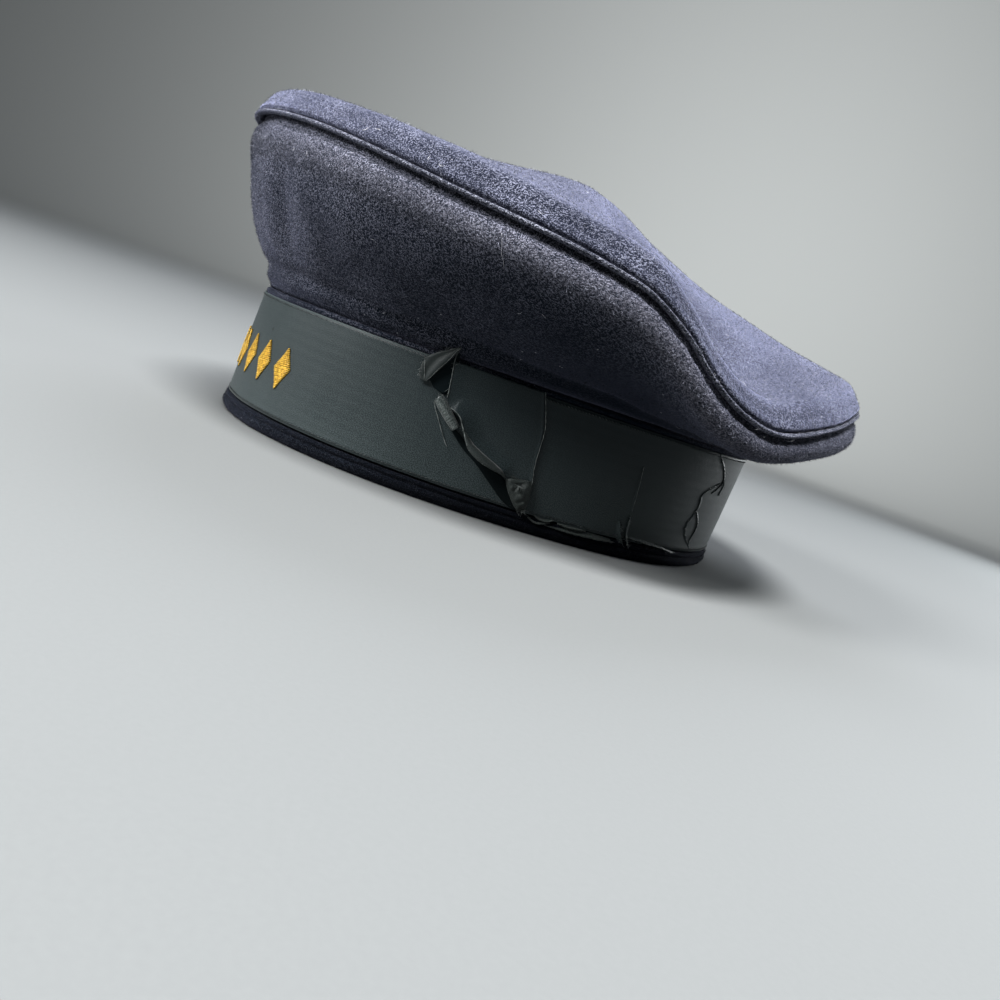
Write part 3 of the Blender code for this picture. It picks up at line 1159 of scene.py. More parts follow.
@dataclass(frozen=True)
class RibbonFinish:
    """Ribbed silk ribbon, with painted shade where it lies under the crown. The hole is a small worn one in
    its face.
    """

    name: str
    colour: Triple
    worn: Triple
    wear: float = 0.5
    roughness: float = 0.5
    gloss: float = 0.5
    sheen: float = 0.12
    rib_depth: float = 0.08 * MM
    worn_span: tuple[float, float] = (0.28, 0.72)
    # Painted shade: the dark teal mixed in under the crown
    painted_shade_colour: Triple = (0.0015, 0.0085, 0.0115)
    painted_shade_share: float = 0.92
    selvedge_share: float = 0.16
    dust_share: float = 0.3
    hole: Triple = (34.0 * MM, 33.9 * MM, 0.0)
    hole_radius: float = 0.45 * MM
    hole_colour: Triple = (0.0008, 0.0008, 0.0008)
    slub_roughness: float = 0.16

    def make(self, ribs: NodeTree) -> Material:
        """The material.

        Args:
            ribs: the shared weave group.

        Returns:
            The material.
        """
        material, graph, shader = plain_material(self.name)
        place = graph.kept("place", "Vector")
        weave = graph.group(ribs, {"Place": place, "Wear": self.wear})
        share = graph.spread(graph.mixed(weave["Slub"], weave["Grain"], 0.5), *self.worn_span)
        colour = graph.blend(share, self.colour, self.worn)
        # Painted shade where the ribbon lies under the crown's overhang
        colour = graph.blend(graph.times(graph.kept("shelter"), self.painted_shade_share), colour, self.painted_shade_colour)
        pale = tuple(3.0 * part + 0.01 for part in self.worn)
        colour = graph.blend(graph.times(weave["Selvedge"], self.selvedge_share), colour, pale)
        colour = graph.blend(graph.times(weave["Dust"], self.dust_share), colour, pale)
        away = graph.node("ShaderNodeVectorMath", operation="DISTANCE")
        graph.feed(away.inputs[0], place)
        graph.feed(away.inputs[1], self.hole)
        whole = graph.spread(away.outputs["Value"], self.hole_radius * 0.8, self.hole_radius * 1.3)
        least = self.roughness - self.slub_roughness / 2
        values = {
            "Base Color": graph.blend(whole, self.hole_colour, colour),
            "Roughness": graph.times(weave["Slub"], self.slub_roughness, least),
            "Specular IOR Level": self.gloss,
            "Sheen Weight": self.sheen,
            "Normal": graph.bump(graph.times(weave["Height"], whole), self.rib_depth),
        }
        graph.fill(shader, values)
        return material


@dataclass(frozen=True)
class ThreadFinish:
    """Fine thread or hair with a twist in it."""

    name: str
    colour: Triple
    dark: Triple
    roughness: float = 0.6
    tone: float = 900.0
    tone_span: tuple[float, float] = (0.3, 0.7)
    strands: float = 5000.0
    strand_depth: float = 0.03 * MM

    def make(self) -> Material:
        """The material, with a tone that changes along the threads.

        Returns:
            The material.
        """
        material, graph, shader = plain_material(self.name)
        place = graph.place()
        tone = graph.spread(graph.cloud(place, self.tone), *self.tone_span)
        values = {
            "Base Color": graph.blend(tone, self.dark, self.colour),
            "Roughness": self.roughness,
            "Normal": graph.bump(graph.cloud(place, self.strands), self.strand_depth),
        }
        graph.fill(shader, values)
        return material


@dataclass(frozen=True)
class FloorFinish:
    """Smooth pale studio paper with a faint grain."""

    name: str = "studio paper"
    colour: Triple = (0.134, 0.14, 0.14)
    paler: Triple = (0.434, 0.44, 0.44)
    grain: float = 900.0
    grain_share: float = 0.03
    roughness: float = 0.85

    def make(self) -> Material:
        """The material.

        Returns:
            The material.
        """
        material, graph, shader = plain_material(self.name)
        tone = graph.times(graph.cloud(graph.place(), self.grain), self.grain_share)
        colour = graph.blend(tone, self.colour, self.paler)
        graph.fill(shader, {"Base Color": colour, "Roughness": self.roughness})
        return material


class Finishes(NamedTuple):
    """The cap's materials."""

    top_wool: Material
    side_wool: Material
    stand_wool: Material
    piping: Material
    fibres: Material
    stand_fibres: Material
    silk: Material
    worn: Material
    rolled: Material
    crumpled: Material
    shadow: Material
    thread: Material
    stitching: Material
    gold: Material
    fluff: Material


WOOLS = (
    # top wool is a copy of the melton wool with a paler dark tone and more sheen: painted light on the
    # crown's top
    WoolFinish("top wool", (0.008, 0.010, 0.018), (0.19, 0.197, 0.252), 0.48),
    WoolFinish("melton wool", (0.0003, 0.0034, 0.0084), (0.275, 0.280, 0.345), 0.14),
    WoolFinish("stand wool", (0.001, 0.002, 0.004), (0.034, 0.041, 0.056), 0.12),
    WoolFinish("piping wool", (0.012, 0.014, 0.02), (0.27, 0.275, 0.325)),
)
NAPS = (
    NapFinish("wool fibres", (0.002, 0.006, 0.0145), (0.43, 0.44, 0.52)),
    NapFinish("stand fibres", (0.004, 0.006, 0.011), (0.13, 0.14, 0.17)),
)
SILKS = (
    RibbonFinish("ribbed silk", (0.0120, 0.0225, 0.0245), (0.0620, 0.0780, 0.0800), gloss=0.36, sheen=0.08),
    RibbonFinish("worn silk", (0.024, 0.032, 0.030), (0.058, 0.068, 0.064), 0.8),
    # rolled silk is a paler, glossier copy of the ribbon silk: painted light on the rolled strip
    RibbonFinish("rolled silk", (0.06, 0.072, 0.068), (0.26, 0.285, 0.275), 0.6, 0.3, rib_depth=0.015 * MM),
    RibbonFinish("crumpled silk", (0.013, 0.019, 0.017), (0.038, 0.046, 0.042), 1.0, 0.6),
    RibbonFinish("silk in shadow", (0.0018, 0.0042, 0.005), (0.0036, 0.0075, 0.0088), 0.0, 0.8, 0.15, 0.0),
)
THREADS = (
    ThreadFinish("broken thread", (0.22, 0.24, 0.235), (0.05, 0.06, 0.058)),
    ThreadFinish("ribbon stitching", (0.085, 0.096, 0.096), (0.02, 0.024, 0.025)),
    ThreadFinish("gold thread", (0.70, 0.47, 0.075), (0.42, 0.25, 0.03), 0.42),
    ThreadFinish("white lint", (0.55, 0.55, 0.58), (0.25, 0.25, 0.28), 0.8),
)


def make_finishes() -> Finishes:
    """Build the cap's materials around the shared node groups.

    Returns:
        The materials.
    """
    nap, ribs = FeltedNap().make(), RibbedWeave().make()
    return Finishes(
        *(finish.make(nap) for finish in WOOLS),
        *(finish.make() for finish in NAPS),
        *(finish.make(ribs) for finish in SILKS),
        *(finish.make() for finish in THREADS),
    )


def round_turns(count: int) -> Array:
    """Turns spaced evenly once round the cap, in degrees."""
    return np.arange(count) * 360.0 / count


class Ridge(NamedTuple):
    """A swelling or dip along a seam: its height, its distance from the seam and its reach, in mm."""

    height: float
    middle: float
    reach: float

    def shape(self, away: Array) -> Array:
        """Its share, 1 at its middle, at distances from the seam in metres."""
        return hump(away - self.middle * MM, self.reach * MM)

    def rise(self, away: Array) -> Array:
        """How far it stands out at distances from the seam, all in metres."""
        return self.height * MM * self.shape(away)


class Unevenness(NamedTuple):
    """A soft unevenness of worn cloth: its depth and the size of its features, in mm."""

    depth: float
    size: float
    seed: float
    octaves: int

    def over(self, points: Array) -> Array:
        """How far it stands out at points, in metres."""
        return fractal(points, self.size * MM, self.seed, self.octaves) * self.depth * MM


@dataclass(frozen=True)
class Nap:
    """Short fibres that stand out of a cloth. The lean is in degrees, and lengths are shares of length."""

    count: int
    seed: int
    length: float = 1.0 * MM
    width: float = 0.1 * MM
    pale_share: float = 0.02
    lengths: tuple[float, float] = (0.45, 1.25)
    lean: tuple[float, float] = (35.0, 80.0)
    curl: float = 0.55
    comb: float = 0.2
    root_depth: float = 0.08 * MM
    knee: float = 0.55
    knee_width: float = 0.7
    tones: tuple[float, float] = (1.3, 3.0)
    dimming: float = 0.88
    outline: Course = ((0.2, 0.2), (0.8, 0.2), (0.8, 0.6), (0.2, 0.6), (0.5, 0.85))

    def build(
        self, name: str, cloth: ClothGrid, dim: Callable[[Array], Array] | None = None
    ) -> Object:
        """The fibres as thin blades in one mesh, each with its own tone.

        Args:
            name: the object's name.
            cloth: the cloth that they stand on.
            dim: painted shade on the fibres at given places, from 0 to 1, where there is any.

        Returns:
            The object.
        """
        each = (self.count, 1)
        roots, normals = cloth.scatter(self.count, self.seed)
        dice = np.random.default_rng(self.seed + 1)
        way = dice.normal(size=(self.count, 3))
        way = unit(way - normals * (way * normals).sum(1, keepdims=True))
        lean = np.radians(dice.uniform(*self.lean, each))
        rise = normals * np.cos(lean) + way * np.sin(lean)
        length = self.length * dice.uniform(*self.lengths, each)
        side = unit(np.cross(rise, dice.normal(size=(self.count, 3))))
        bend = unit(rise + self.curl * side * dice.uniform(-1, 1, each) + self.comb * way)
        half = np.cross(rise, side) * self.width / 2
        start = roots - normals * self.root_depth
        middle = start + rise * length * self.knee
        tip = middle + bend * length * (1 - self.knee)
        waist = half * self.knee_width
        corners = (start - half, start + half, middle + waist, middle - waist, tip)
        points = np.stack(corners, 1).reshape(-1, 3)
        first = np.arange(self.count)[:, None] * len(corners)
        made = make_object(name, points, [first + np.array([0, 1, 2, 3]), first + np.array([3, 2, 4])])
        tone = dice.beta(*self.tones, self.count)
        tone[dice.random(self.count) < self.pale_share] = 1.0
        # Painted shade: fibres darkened where dim says
        if dim is not None:
            tone = tone * (1 - self.dimming * dim(roots))
        keep_values(made, "tone", np.repeat(tone, len(corners)))
        self.lay_out(made)
        return made

    def lay_out(self, made: Object) -> None:
        """Give each fibre a small square of its own on the bake map.

        Args:
            made: the fibres.
        """
        squares = int(np.ceil(np.sqrt(self.count)))
        row, column = np.divmod(np.arange(self.count), squares)
        corner = np.stack([column, row], -1)
        spots = ((corner[:, None] + np.array(self.outline)[None]) / squares).reshape(-1, 2)
        layer = made.data.uv_layers.new(name=BAKE_MAP)
        index = np.empty(len(made.data.loops), np.int32)
        made.data.loops.foreach_get("vertex_index", index)
        layer.data.foreach_set("uv", spots[index].astype(np.float32).ravel())


@dataclass
class Crown:
    """The soft round crown: its top, its side, the piping between them and their nap."""

    wall: float = 2.0 * MM
    turns: int = 384
    shoulder_steps: int = 26
    top_steps: int = 44
    side_steps: int = 40
    side_crowding: float = 0.9
    top_cut: Cut = Cut((0.28, 0.28), Held.STRETCHED, ("edge_welt",))
    side_cut: Cut = Cut((0.28, 0.28), Held.STRETCHED, ("headband",))
    top_tuck: tuple[float, float] = (0.4 * MM, 1.2 * MM)
    top_turn: tuple[float, float, float] = (0.2, 0.006, 0.5 * MM)
    shoulder: tuple[Ridge, ...] = (Ridge(0.6, 10.0, 3.0), Ridge(-0.45, 4.2, 2.2))
    calm_middle: float = 0.2
    side_tuck: tuple[float, float] = (1.8 * MM, 2.5 * MM)
    side_turn: tuple[float, float] = (0.004, 2.2 * MM)
    over_stand: tuple[Ridge, ...] = (Ridge(0.9, 4.2, 2.2), Ridge(-0.8, 8.6, 2.4))
    # The swelling of the band under the welt; its turn and least share also set where light is painted on
    # that band
    welt_band: Ridge = Ridge(1.9, 6.5, 4.5)
    welt_band_turn: float = 12.0
    welt_band_least: float = 0.15
    # Only its shape is used: where light is painted on the band under the welt
    worn: Ridge = Ridge(0.0, 4.55, 4.5)
    welt_band_reach: float = 10.0 * MM
    seam_rows: int = 3
    pucker: float = 0.16 * MM
    pucker_reach: float = 5.0 * MM
    puckers: int = 118
    pucker_wander: float = 3.0
    slack: tuple[Unevenness, ...] = (Unevenness(0.45, 34, 9.0, 3), Unevenness(0.05, 7, 2.0, 2))
    welt_turns: int = 720
    welt_sides: int = 14
    welt_radius: float = 1.25 * MM
    welt_half_height: float = 0.75 * MM
    welt_lift: float = 0.45 * MM
    welt_proud: float = 0.9 * MM
    welt_lumps: float = 0.05
    welt_puckers: float = 0.025
    welt_fill: float = 0.9
    top_nap: Nap = Nap(60000, 11, 1.1 * MM)
    side_nap: Nap = Nap(60000, 21, 1.1 * MM)
    welt_nap: Nap = Nap(12000, 31, 0.8 * MM)
    # More fibres on the band under the welt, with more pale ones: real nap, partly painted light
    rubbed_nap: Nap = Nap(22000, 25, 1.3 * MM, 0.09 * MM, 0.05)

    def tuck(self, points: Array, away: Array, size: tuple[float, float]) -> Array:
        """Draw the cloth in to the seam beside the piping.

        Args:
            points: the cloth's points.
            away: how far each is from the seam, in metres.
            size: how deep the cloth is drawn in, and from how far, in metres.

        Returns:
            The points, drawn in towards the crown's middle near the seam.
        """
        depth, reach = size
        near = np.clip(1 - away / reach, 0, 1)
        depth = depth * (1 - np.sqrt(1 - near**2 * 0.98))
        return points - unit(points * LEVEL) * depth[..., None]

    def ripple(self, points: Array, turn: Array, away: Array) -> Array:
        """Small puckers beside the seam and the soft unevenness of worn cloth.

        Args:
            points: the cloth's points.
            turn: their turns, in degrees.
            away: how far each is from the seam, in metres.

        Returns:
            How far each point stands out, in metres.
        """
        wander = fractal(points, 26 * MM, 4.0, 2) * self.pucker_wander
        waves = np.sin(np.radians(turn) * self.puckers + wander)
        total = self.pucker * waves * hump(away, self.pucker_reach)
        for slack in self.slack:
            total = total + slack.over(points)
        return total

    def make_top(self, wool: Material) -> ClothGrid:
        """The round top with its soft shoulder.

        Args:
            wool: its cloth.

        Returns:
            Its outer face.
        """
        flat = FORM.crown_radius - FORM.shoulder_depth
        over = pi / 2 * (1 - np.arange(self.shoulder_steps) / self.shoulder_steps)
        inner = flat * (1 - np.arange(self.top_steps) / self.top_steps)
        radii = np.concatenate([flat + FORM.shoulder_depth * np.sin(over), inner])
        turn, radius = np.meshgrid(round_turns(self.turns), radii)
        points = FORM.top(turn, radius)
        above = np.maximum(points[..., 2] - points[:1, :, 2], 0)
        away = above + (FORM.crown_radius - radius) * 0.5
        points = self.tuck(points, away, self.top_tuck)
        down, inward, under = self.top_turn
        turned = points[:1] - (points[1:2] - points[:1]) * down
        turned = turned * (1 - LEVEL * inward) - UP * under
        points = np.concatenate([turned, points])
        away, turn = (np.concatenate([values[:1], values]) for values in (away, turn))
        cloth = ClothGrid(points)
        reach = np.linalg.norm(points[..., :2], axis=-1) / FORM.crown_radius
        ripple = self.ripple(points, turn, away) * np.clip(reach, self.calm_middle, 1)
        cloth.push(sum(ridge.rise(away) for ridge in self.shoulder) + ripple)
        made = cloth.build("crown_top", cloth.points[-1].mean(0))
        thicken(made, self.wall)
        wear(made, wool, Slot.WOOL)
        self.top_cut.replace(made, "crown_top", cloth.area())
        return cloth

    def make_side(self, wool: Material) -> tuple[ClothGrid, ClothGrid]:
        """The flared side, with its soft creases and the swelling over the stand's seam.

        Args:
            wool: its cloth.

        Returns:
            Its outer face, and the strip of it that is rubbed beside the welt.
        """
        parts = np.linspace(0, 1, self.side_steps + 1) ** self.side_crowding
        turn, part = np.meshgrid(round_turns(self.turns), parts)
        points = FORM.side(turn, part)
        steps = np.linalg.norm(np.diff(points, axis=0), axis=-1)
        reached = np.concatenate([np.zeros((1, self.turns)), np.cumsum(steps, 0)])
        away = reached[-1:] - reached
        points = self.tuck(points, away, self.side_tuck)
        inward, up = self.side_turn
        points = np.concatenate([points, points[-1:] * (1 - LEVEL * inward) + UP * up])
        rows = (turn, part, away, reached)
        turn, part, away, reached = (np.concatenate([values, values[-1:]]) for values in rows)
        cloth = ClothGrid(points)
        least = self.welt_band_least
        share = least + (1 - least) * around(turn, self.welt_band_turn, 2)
        swell = sum(ridge.rise(reached) for ridge in self.over_stand)
        swell += share * self.welt_band.rise(away)
        for fold in SIDE_FOLDS:
            off = (turn - fold.turn + 180) % 360 - 180
            shape = (off / fold.turns) ** 2 + ((part - fold.part) / fold.parts) ** 2
            swell += fold.height * MM * np.exp(-shape)
        cloth.push(swell + self.ripple(points, turn, away))
        made = cloth.build("crown_side")
        # Painted light on the band under the welt, and painted shade under the crown's overhang
        keep_values(made, "rub", share * self.worn.shape(away))
        keep_values(made, "shelter", FORM.wool_painted_shade(cloth.points))
        thicken(made, self.wall)
        wear(made, wool, Slot.WOOL)
        self.side_cut.replace(made, "crown_side", cloth.area())
        first = int((away.mean(1) > self.welt_band_reach).sum())
        return cloth, ClothGrid(cloth.points[first : -self.seam_rows])

    def make_welt(self, wool: Material) -> ClothGrid:
        """The piping, a cord in a strip of the same wool.

        Args:
            wool: its cloth.

        Returns:
            Its face.
        """
        angles = np.linspace(0, 2 * pi, self.welt_sides + 1)
        turn, angle = np.meshgrid(round_turns(self.welt_turns), angles)
        middle = FORM.crown_radius + self.welt_proud - self.welt_radius
        height = FORM.column("welt", turn) * MM + self.welt_lift
        radius = middle + self.welt_radius * np.cos(angle)
        points = FORM.ring(turn, radius, height + self.welt_half_height * np.sin(angle))
        centre = FORM.ring(turn, middle, height)
        wander = 4 * fractal(centre, 20 * MM, 3.0, 1)
        waves = np.sin(np.radians(turn) * self.puckers * 2 + wander)
        thick = 1 + self.welt_lumps * fractal(centre, 9 * MM, 6.0, 2) + self.welt_puckers * waves
        cloth = ClothGrid(centre + (points - centre) * thick[..., None])
        made = cloth.build("edge_welt")
        close_round(made)
        wear(made, wool, Slot.WOOL)
        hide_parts("edge_welt")
        return cloth

    def build(self, finishes: Finishes) -> tuple[ClothGrid, ...]:
        """Build the crown.

        Args:
            finishes: the cap's materials.

        Returns:
            The faces of the top, the side and the welt.
        """
        top = self.make_top(finishes.top_wool)
        side, welt_band = self.make_side(finishes.side_wool)
        welt = self.make_welt(finishes.piping)
        # The side's and the band's fibres are darkened by painted shade under the crown
        naps = (
            ("crown_top_nap", self.top_nap, top, None),
            ("crown_side_nap", self.side_nap, side, FORM.wool_painted_shade),
            ("edge_welt_nap", self.welt_nap, welt, None),
            ("rubbed_nap", self.rubbed_nap, welt_band, FORM.shelter),
        )
        for name, nap, cloth, dim in naps:
            wear(nap.build(name, cloth, dim), finishes.fibres, Slot.WOOL)
        return top, side, welt


class BandStep(NamedTuple):
    """A corner of the stand's cut: its inset from the ribbon's face and its height, in mm."""

    inset: float
    height: float


BAND_CUT = (
    BandStep(3.9, 0.2),
    BandStep(2.6, 0.0),
    BandStep(1.2, 0.1),
    BandStep(0.2, 0.8),
    BandStep(-0.5, 1.8),
    BandStep(-0.55, 2.9),
    BandStep(0.1, 3.7),
    BandStep(0.1, 4.0),
    BandStep(-0.3, 4.7),
    BandStep(0.1, 5.6),
    BandStep(1.3, 6.1),
    BandStep(1.3, 12.0),
    BandStep(1.3, 20.0),
    BandStep(1.3, 32.0),
    BandStep(1.3, 41.0),
    BandStep(1.1, 44.2),
    BandStep(0.5, 45.0),
    BandStep(0.5, 45.9),
    BandStep(1.3, 46.5),
    BandStep(2.6, 46.6),
    BandStep(3.9, 46.4),
    BandStep(3.9, 32.0),
    BandStep(3.9, 16.0),
)


@dataclass
class Stand:
    """The upright stand: the wool headband with its rolled edge, and the ribbon round it.

    The ribbon's and the stitches' sizes are in mm where they aren't given with MM.
    """

    turns: int = 420
    steps_between: int = 3
    cut: Cut = Cut((0.05, 0.588), Held.FOLDED)
    lumps: Unevenness = Unevenness(0.22, 16, 7.0, 3)
    roll_reach: float = 7.0 * MM
    strip_bottom: float = 44.0 * MM
    strip_rise: float = 2.0 * MM
    nap_corners: tuple[int, int] = (1, 10)
    nap: Nap = Nap(25000, 41, 0.85 * MM)
    ribbon_columns: int = 660
    ribbon_rows: int = 22
    ribbon_crowding: float = 0.12
    ribbon_bottom: float = 6.5
    ribbon_top: float = 44.5
    ribbon_wall: float = 0.35 * MM
    ribbon_depth: float = -0.15
    join_reach: float = 10.0
    wave: float = 0.14
    wave_scale: tuple[float, float] = (0.02, 0.03)
    edge_wave: float = 0.12
    edge_waves: tuple[float, float] = (5.5, 23.0)
    edge_reach: float = 3.0
    bead: float = 0.08
    bead_reach: float = 0.5
    stitch_pitch: float = 1.25
    stitch_inset: float = 0.9
    stitch_radius: float = 0.13 * MM
    stitch_slant: float = 0.2
    stitch_span: tuple[float, float] = (0.14, 0.8)
    stitch_lifts: tuple[float, ...] = (-0.14, 0.06, 0.06, -0.14)

    def make_headband(self, wool: Material, upper: Material) -> ClothGrid:
        """The stand's wool, closed all round.

        Args:
            wool: its cloth.
            upper: the cloth of the strip above the ribbon.

        Returns:
            Its outer face from the roll to the top.
        """
        cut = smooth_ring(np.array(BAND_CUT) * MM, self.steps_between)
        turn, row = np.meshgrid(round_turns(self.turns), np.arange(len(cut)))
        inset, height = cut[row, 0], cut[row, 1]
        lumps = self.lumps.over(FORM.band(turn, height, inset))
        low = np.clip(1 - height / self.roll_reach, 0, 1)
        high = np.clip((height - self.strip_bottom) / self.strip_rise, 0, 1)
        points = FORM.band(turn, height, inset - lumps * np.maximum(low, high))
        points[..., 2] = np.maximum(points[..., 2], 0.0)
        ring = np.concatenate([points, points[:1]])
        made = ClothGrid(ring).build("headband")
        # Painted shade under the crown's overhang and on the strip above the ribbon
        keep_values(made, "shelter", FORM.wool_painted_shade(ring))
        close_round(made)
        wear(made, wool, Slot.WOOL)
        made.data.materials.append(upper)
        heights = np.array([face.center.z for face in made.data.polygons])
        made.data.polygons.foreach_set("material_index", (heights > self.strip_bottom).astype(np.int32))
        self.cut.replace(made, "headband")
        first, last = (corner * self.steps_between for corner in self.nap_corners)
        return ClothGrid(points[first:last])

    def ribbon_place(self, distance: Array, row: Array, height: Array) -> Array:
        """How far the ribbon's face stands off its even course.

        Args:
            distance: how far along the ribbon, in mm.
            row: how far up the ribbon, from 0 to 1.
            height: the height from the rim, in mm.

        Returns:
            The distances, in mm.
        """
        width = self.ribbon_top - self.ribbon_bottom
        across, up = self.wave_scale
        flow = np.stack([distance * across, height * up, np.zeros_like(height)], -1)
        join = np.clip((FORM.ribbon_length() / 2 - abs(distance)) / self.join_reach, 0, 1)
        wave = fractal(flow, 1.0, 5.0, 2) * self.wave * join
        short, wide = self.edge_waves
        frill = np.sin(distance / short + 2 * np.sin(distance / wide)) * self.edge_wave
        edge = hump(row * width, self.edge_reach) * frill
        bead = hump(row * width, self.bead_reach) + hump((1 - row) * width, self.bead_reach)
        return self.ribbon_depth + wave + edge + self.bead * bead

    def make_ribbon(self, silk: Material) -> Object:
        """The ribbon round the stand, with its weave's places kept for the finish.

        Args:
            silk: its finish.

        Returns:
            The ribbon.
        """
        distance = (np.arange(self.ribbon_columns) / self.ribbon_columns - 0.5) * FORM.ribbon_length()
        row = np.linspace(0, 1, self.ribbon_rows + 1)
        row = row - self.ribbon_crowding * np.sin(2 * pi * row) / (2 * pi)
        distance, row = np.meshgrid(distance, row)
        height = self.ribbon_bottom + (self.ribbon_top - self.ribbon_bottom) * row
        points = FORM.on_ribbon(distance, height, self.ribbon_place(distance, row, height))
        made = ClothGrid(points).build("ribbon")
        keep_places(made, np.stack([distance, height, np.zeros_like(height)], -1) * MM)
        # Painted shade towards the ribbon's top under the crown
        keep_values(made, "shelter", FORM.ribbon_painted_shade(points))
        thicken(made, self.ribbon_wall)
        wear(made, silk, Slot.RIBBON)
        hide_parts("ribbon")
        return made

    def declare_ribbon(self, ribbon: Object, raised: Sequence[Object]) -> None:
        """Pass the ribbon, one stretched strip with its raised edges and openings on it, to a Cut whose
        declare does nothing.
        """
        flat = ((self.ribbon_top - self.ribbon_bottom) * MM, FORM.ribbon_length() * MM)
        Cut(flat, Held.STRETCHED, ("headband",)).declare(ribbon, with_pieces=raised)

    def make_stitches(self, thread: Material) -> None:
        """The row of tiny stitches along each edge of the ribbon.

        Args:
            thread: their finish.
        """
        paths = []
        spots = len(self.stitch_lifts)
        upper, lower = self.ribbon_top - self.stitch_inset, self.ribbon_bottom + self.stitch_inset
        for height, slant in ((upper, -self.stitch_slant), (lower, self.stitch_slant)):
            slanted = height + slant * np.linspace(-1, 1, spots)
            for index in range(int(FORM.ribbon_length() / self.stitch_pitch)):
                along = (index + np.linspace(*self.stitch_span, spots)) * self.stitch_pitch
                paths.append(FORM.on_ribbon(along, slanted, self.stitch_lifts))
        made = tubes("ribbon_stitches", paths, [self.stitch_radius] * len(paths), 4)
        wear(made, thread, Slot.RIBBON)

    def build(self, finishes: Finishes) -> Object:
        """Build the stand.

        Args:
            finishes: the cap's materials.

        Returns:
            The ribbon.
        """
        face = self.make_headband(finishes.stand_wool, finishes.side_wool)
        # Fibres darkened by painted shade under the crown
        nap = self.nap.build("headband_nap", face, FORM.shelter)
        wear(nap, finishes.stand_fibres, Slot.WOOL)
        ribbon = self.make_ribbon(finishes.silk)
        self.make_stitches(finishes.stitching)
        return ribbon


class EndRow(NamedTuple):
    """The loose ribbon end at one height: its two edges along the ribbon and its curl, in mm."""

    height: float
    front: float
    back: float
    curl: float


RIBBON_END = (
    EndRow(15.4, 136.2, 144.4, 0.6),
    EndRow(16.0, 134.8, 144.1, 1.4),
    EndRow(16.8, 132.6, 143.9, 2.4),
    EndRow(17.5, 129.6, 143.8, 3.2),
    EndRow(18.5, 126.2, 143.6, 3.7),
    EndRow(20.0, 122.8, 143.3, 3.6),
    EndRow(21.8, 120.3, 142.8, 3.2),
    EndRow(24.2, 118.6, 142.4, 2.6),
    EndRow(27.2, 116.6, 142.1, 2.3),
    EndRow(29.4, 114.8, 141.9, 2.2),
    EndRow(30.5, 112.6, 141.6, 2.0),
    EndRow(31.2, 110.8, 141.4, 1.3),
    EndRow(33.7, 108.8, 141.0, 0.8),
    EndRow(40.0, 107.6, 138.6, 0.8),
    EndRow(45.4, 106.6, 136.4, 0.8),
)


class FlapRow(NamedTuple):
    """The folded corner at one height: its edges along the ribbon, and their lifts, in mm."""

    height: float
    front: float
    back: float
    front_lift: float
    back_lift: float


BOW_FLAP = (
    FlapRow(36.4, 99.2, 100.6, 0.9, 1.3),
    FlapRow(37.6, 97.8, 101.2, 1.0, 1.5),
    FlapRow(38.8, 97.3, 101.8, 1.1, 1.7),
    FlapRow(41.2, 97.3, 103.0, 1.3, 2.1),
    FlapRow(43.6, 97.7, 104.2, 1.5, 2.5),
    FlapRow(45.2, 99.3, 105.0, 1.8, 2.7),
    FlapRow(46.9, 101.7, 105.8, 2.2, 3.0),
    FlapRow(48.4, 104.3, 106.5, 2.8, 3.2),
    FlapRow(49.9, 106.8, 107.2, 3.3, 3.5),
)


class RollStop(NamedTuple):
    """A stop down the rolled strip: its place on the ribbon, lift and radius, in mm."""

    distance: float
    height: float
    lift: float
    radius: float


BOW_ROLL = (
    RollStop(106.5, 32.9, 2.4, 1.45),
    RollStop(108.2, 31.3, 2.5, 1.7),
    RollStop(110.6, 29.2, 2.5, 1.65),
    RollStop(112.8, 27.3, 2.4, 1.5),
    RollStop(114.8, 25.6, 2.2, 1.3),
)


class PouchRow(NamedTuple):
    """The little pouch at one height: its two edges along the ribbon and its puff, in mm."""

    height: float
    front: float
    back: float
    puff: float


POUCH = (
    PouchRow(16.6, 135.4, 144.4, 0.6),
    PouchRow(15.6, 135.6, 144.8, 1.3),
    PouchRow(13.8, 136.4, 145.0, 1.7),
    PouchRow(11.8, 137.8, 145.3, 1.8),
    PouchRow(9.8, 139.6, 145.5, 1.6),
    PouchRow(8.2, 141.2, 145.5, 1.2),
    PouchRow(6.9, 143.2, 145.3, 0.6),
)


class Lip(NamedTuple):
    """A raised torn or creased edge on the ribbon, in mm.

    lift is how high its edge stands, and width how far it reaches to its own side of its line.
    gap is the width of the dark opening along the edge, a sheet of painted shade. line is its course as
    (distance, height).
    """

    name: str
    lift: float
    width: float
    side: Hand
    ragged: float
    gap: float
    line: Course


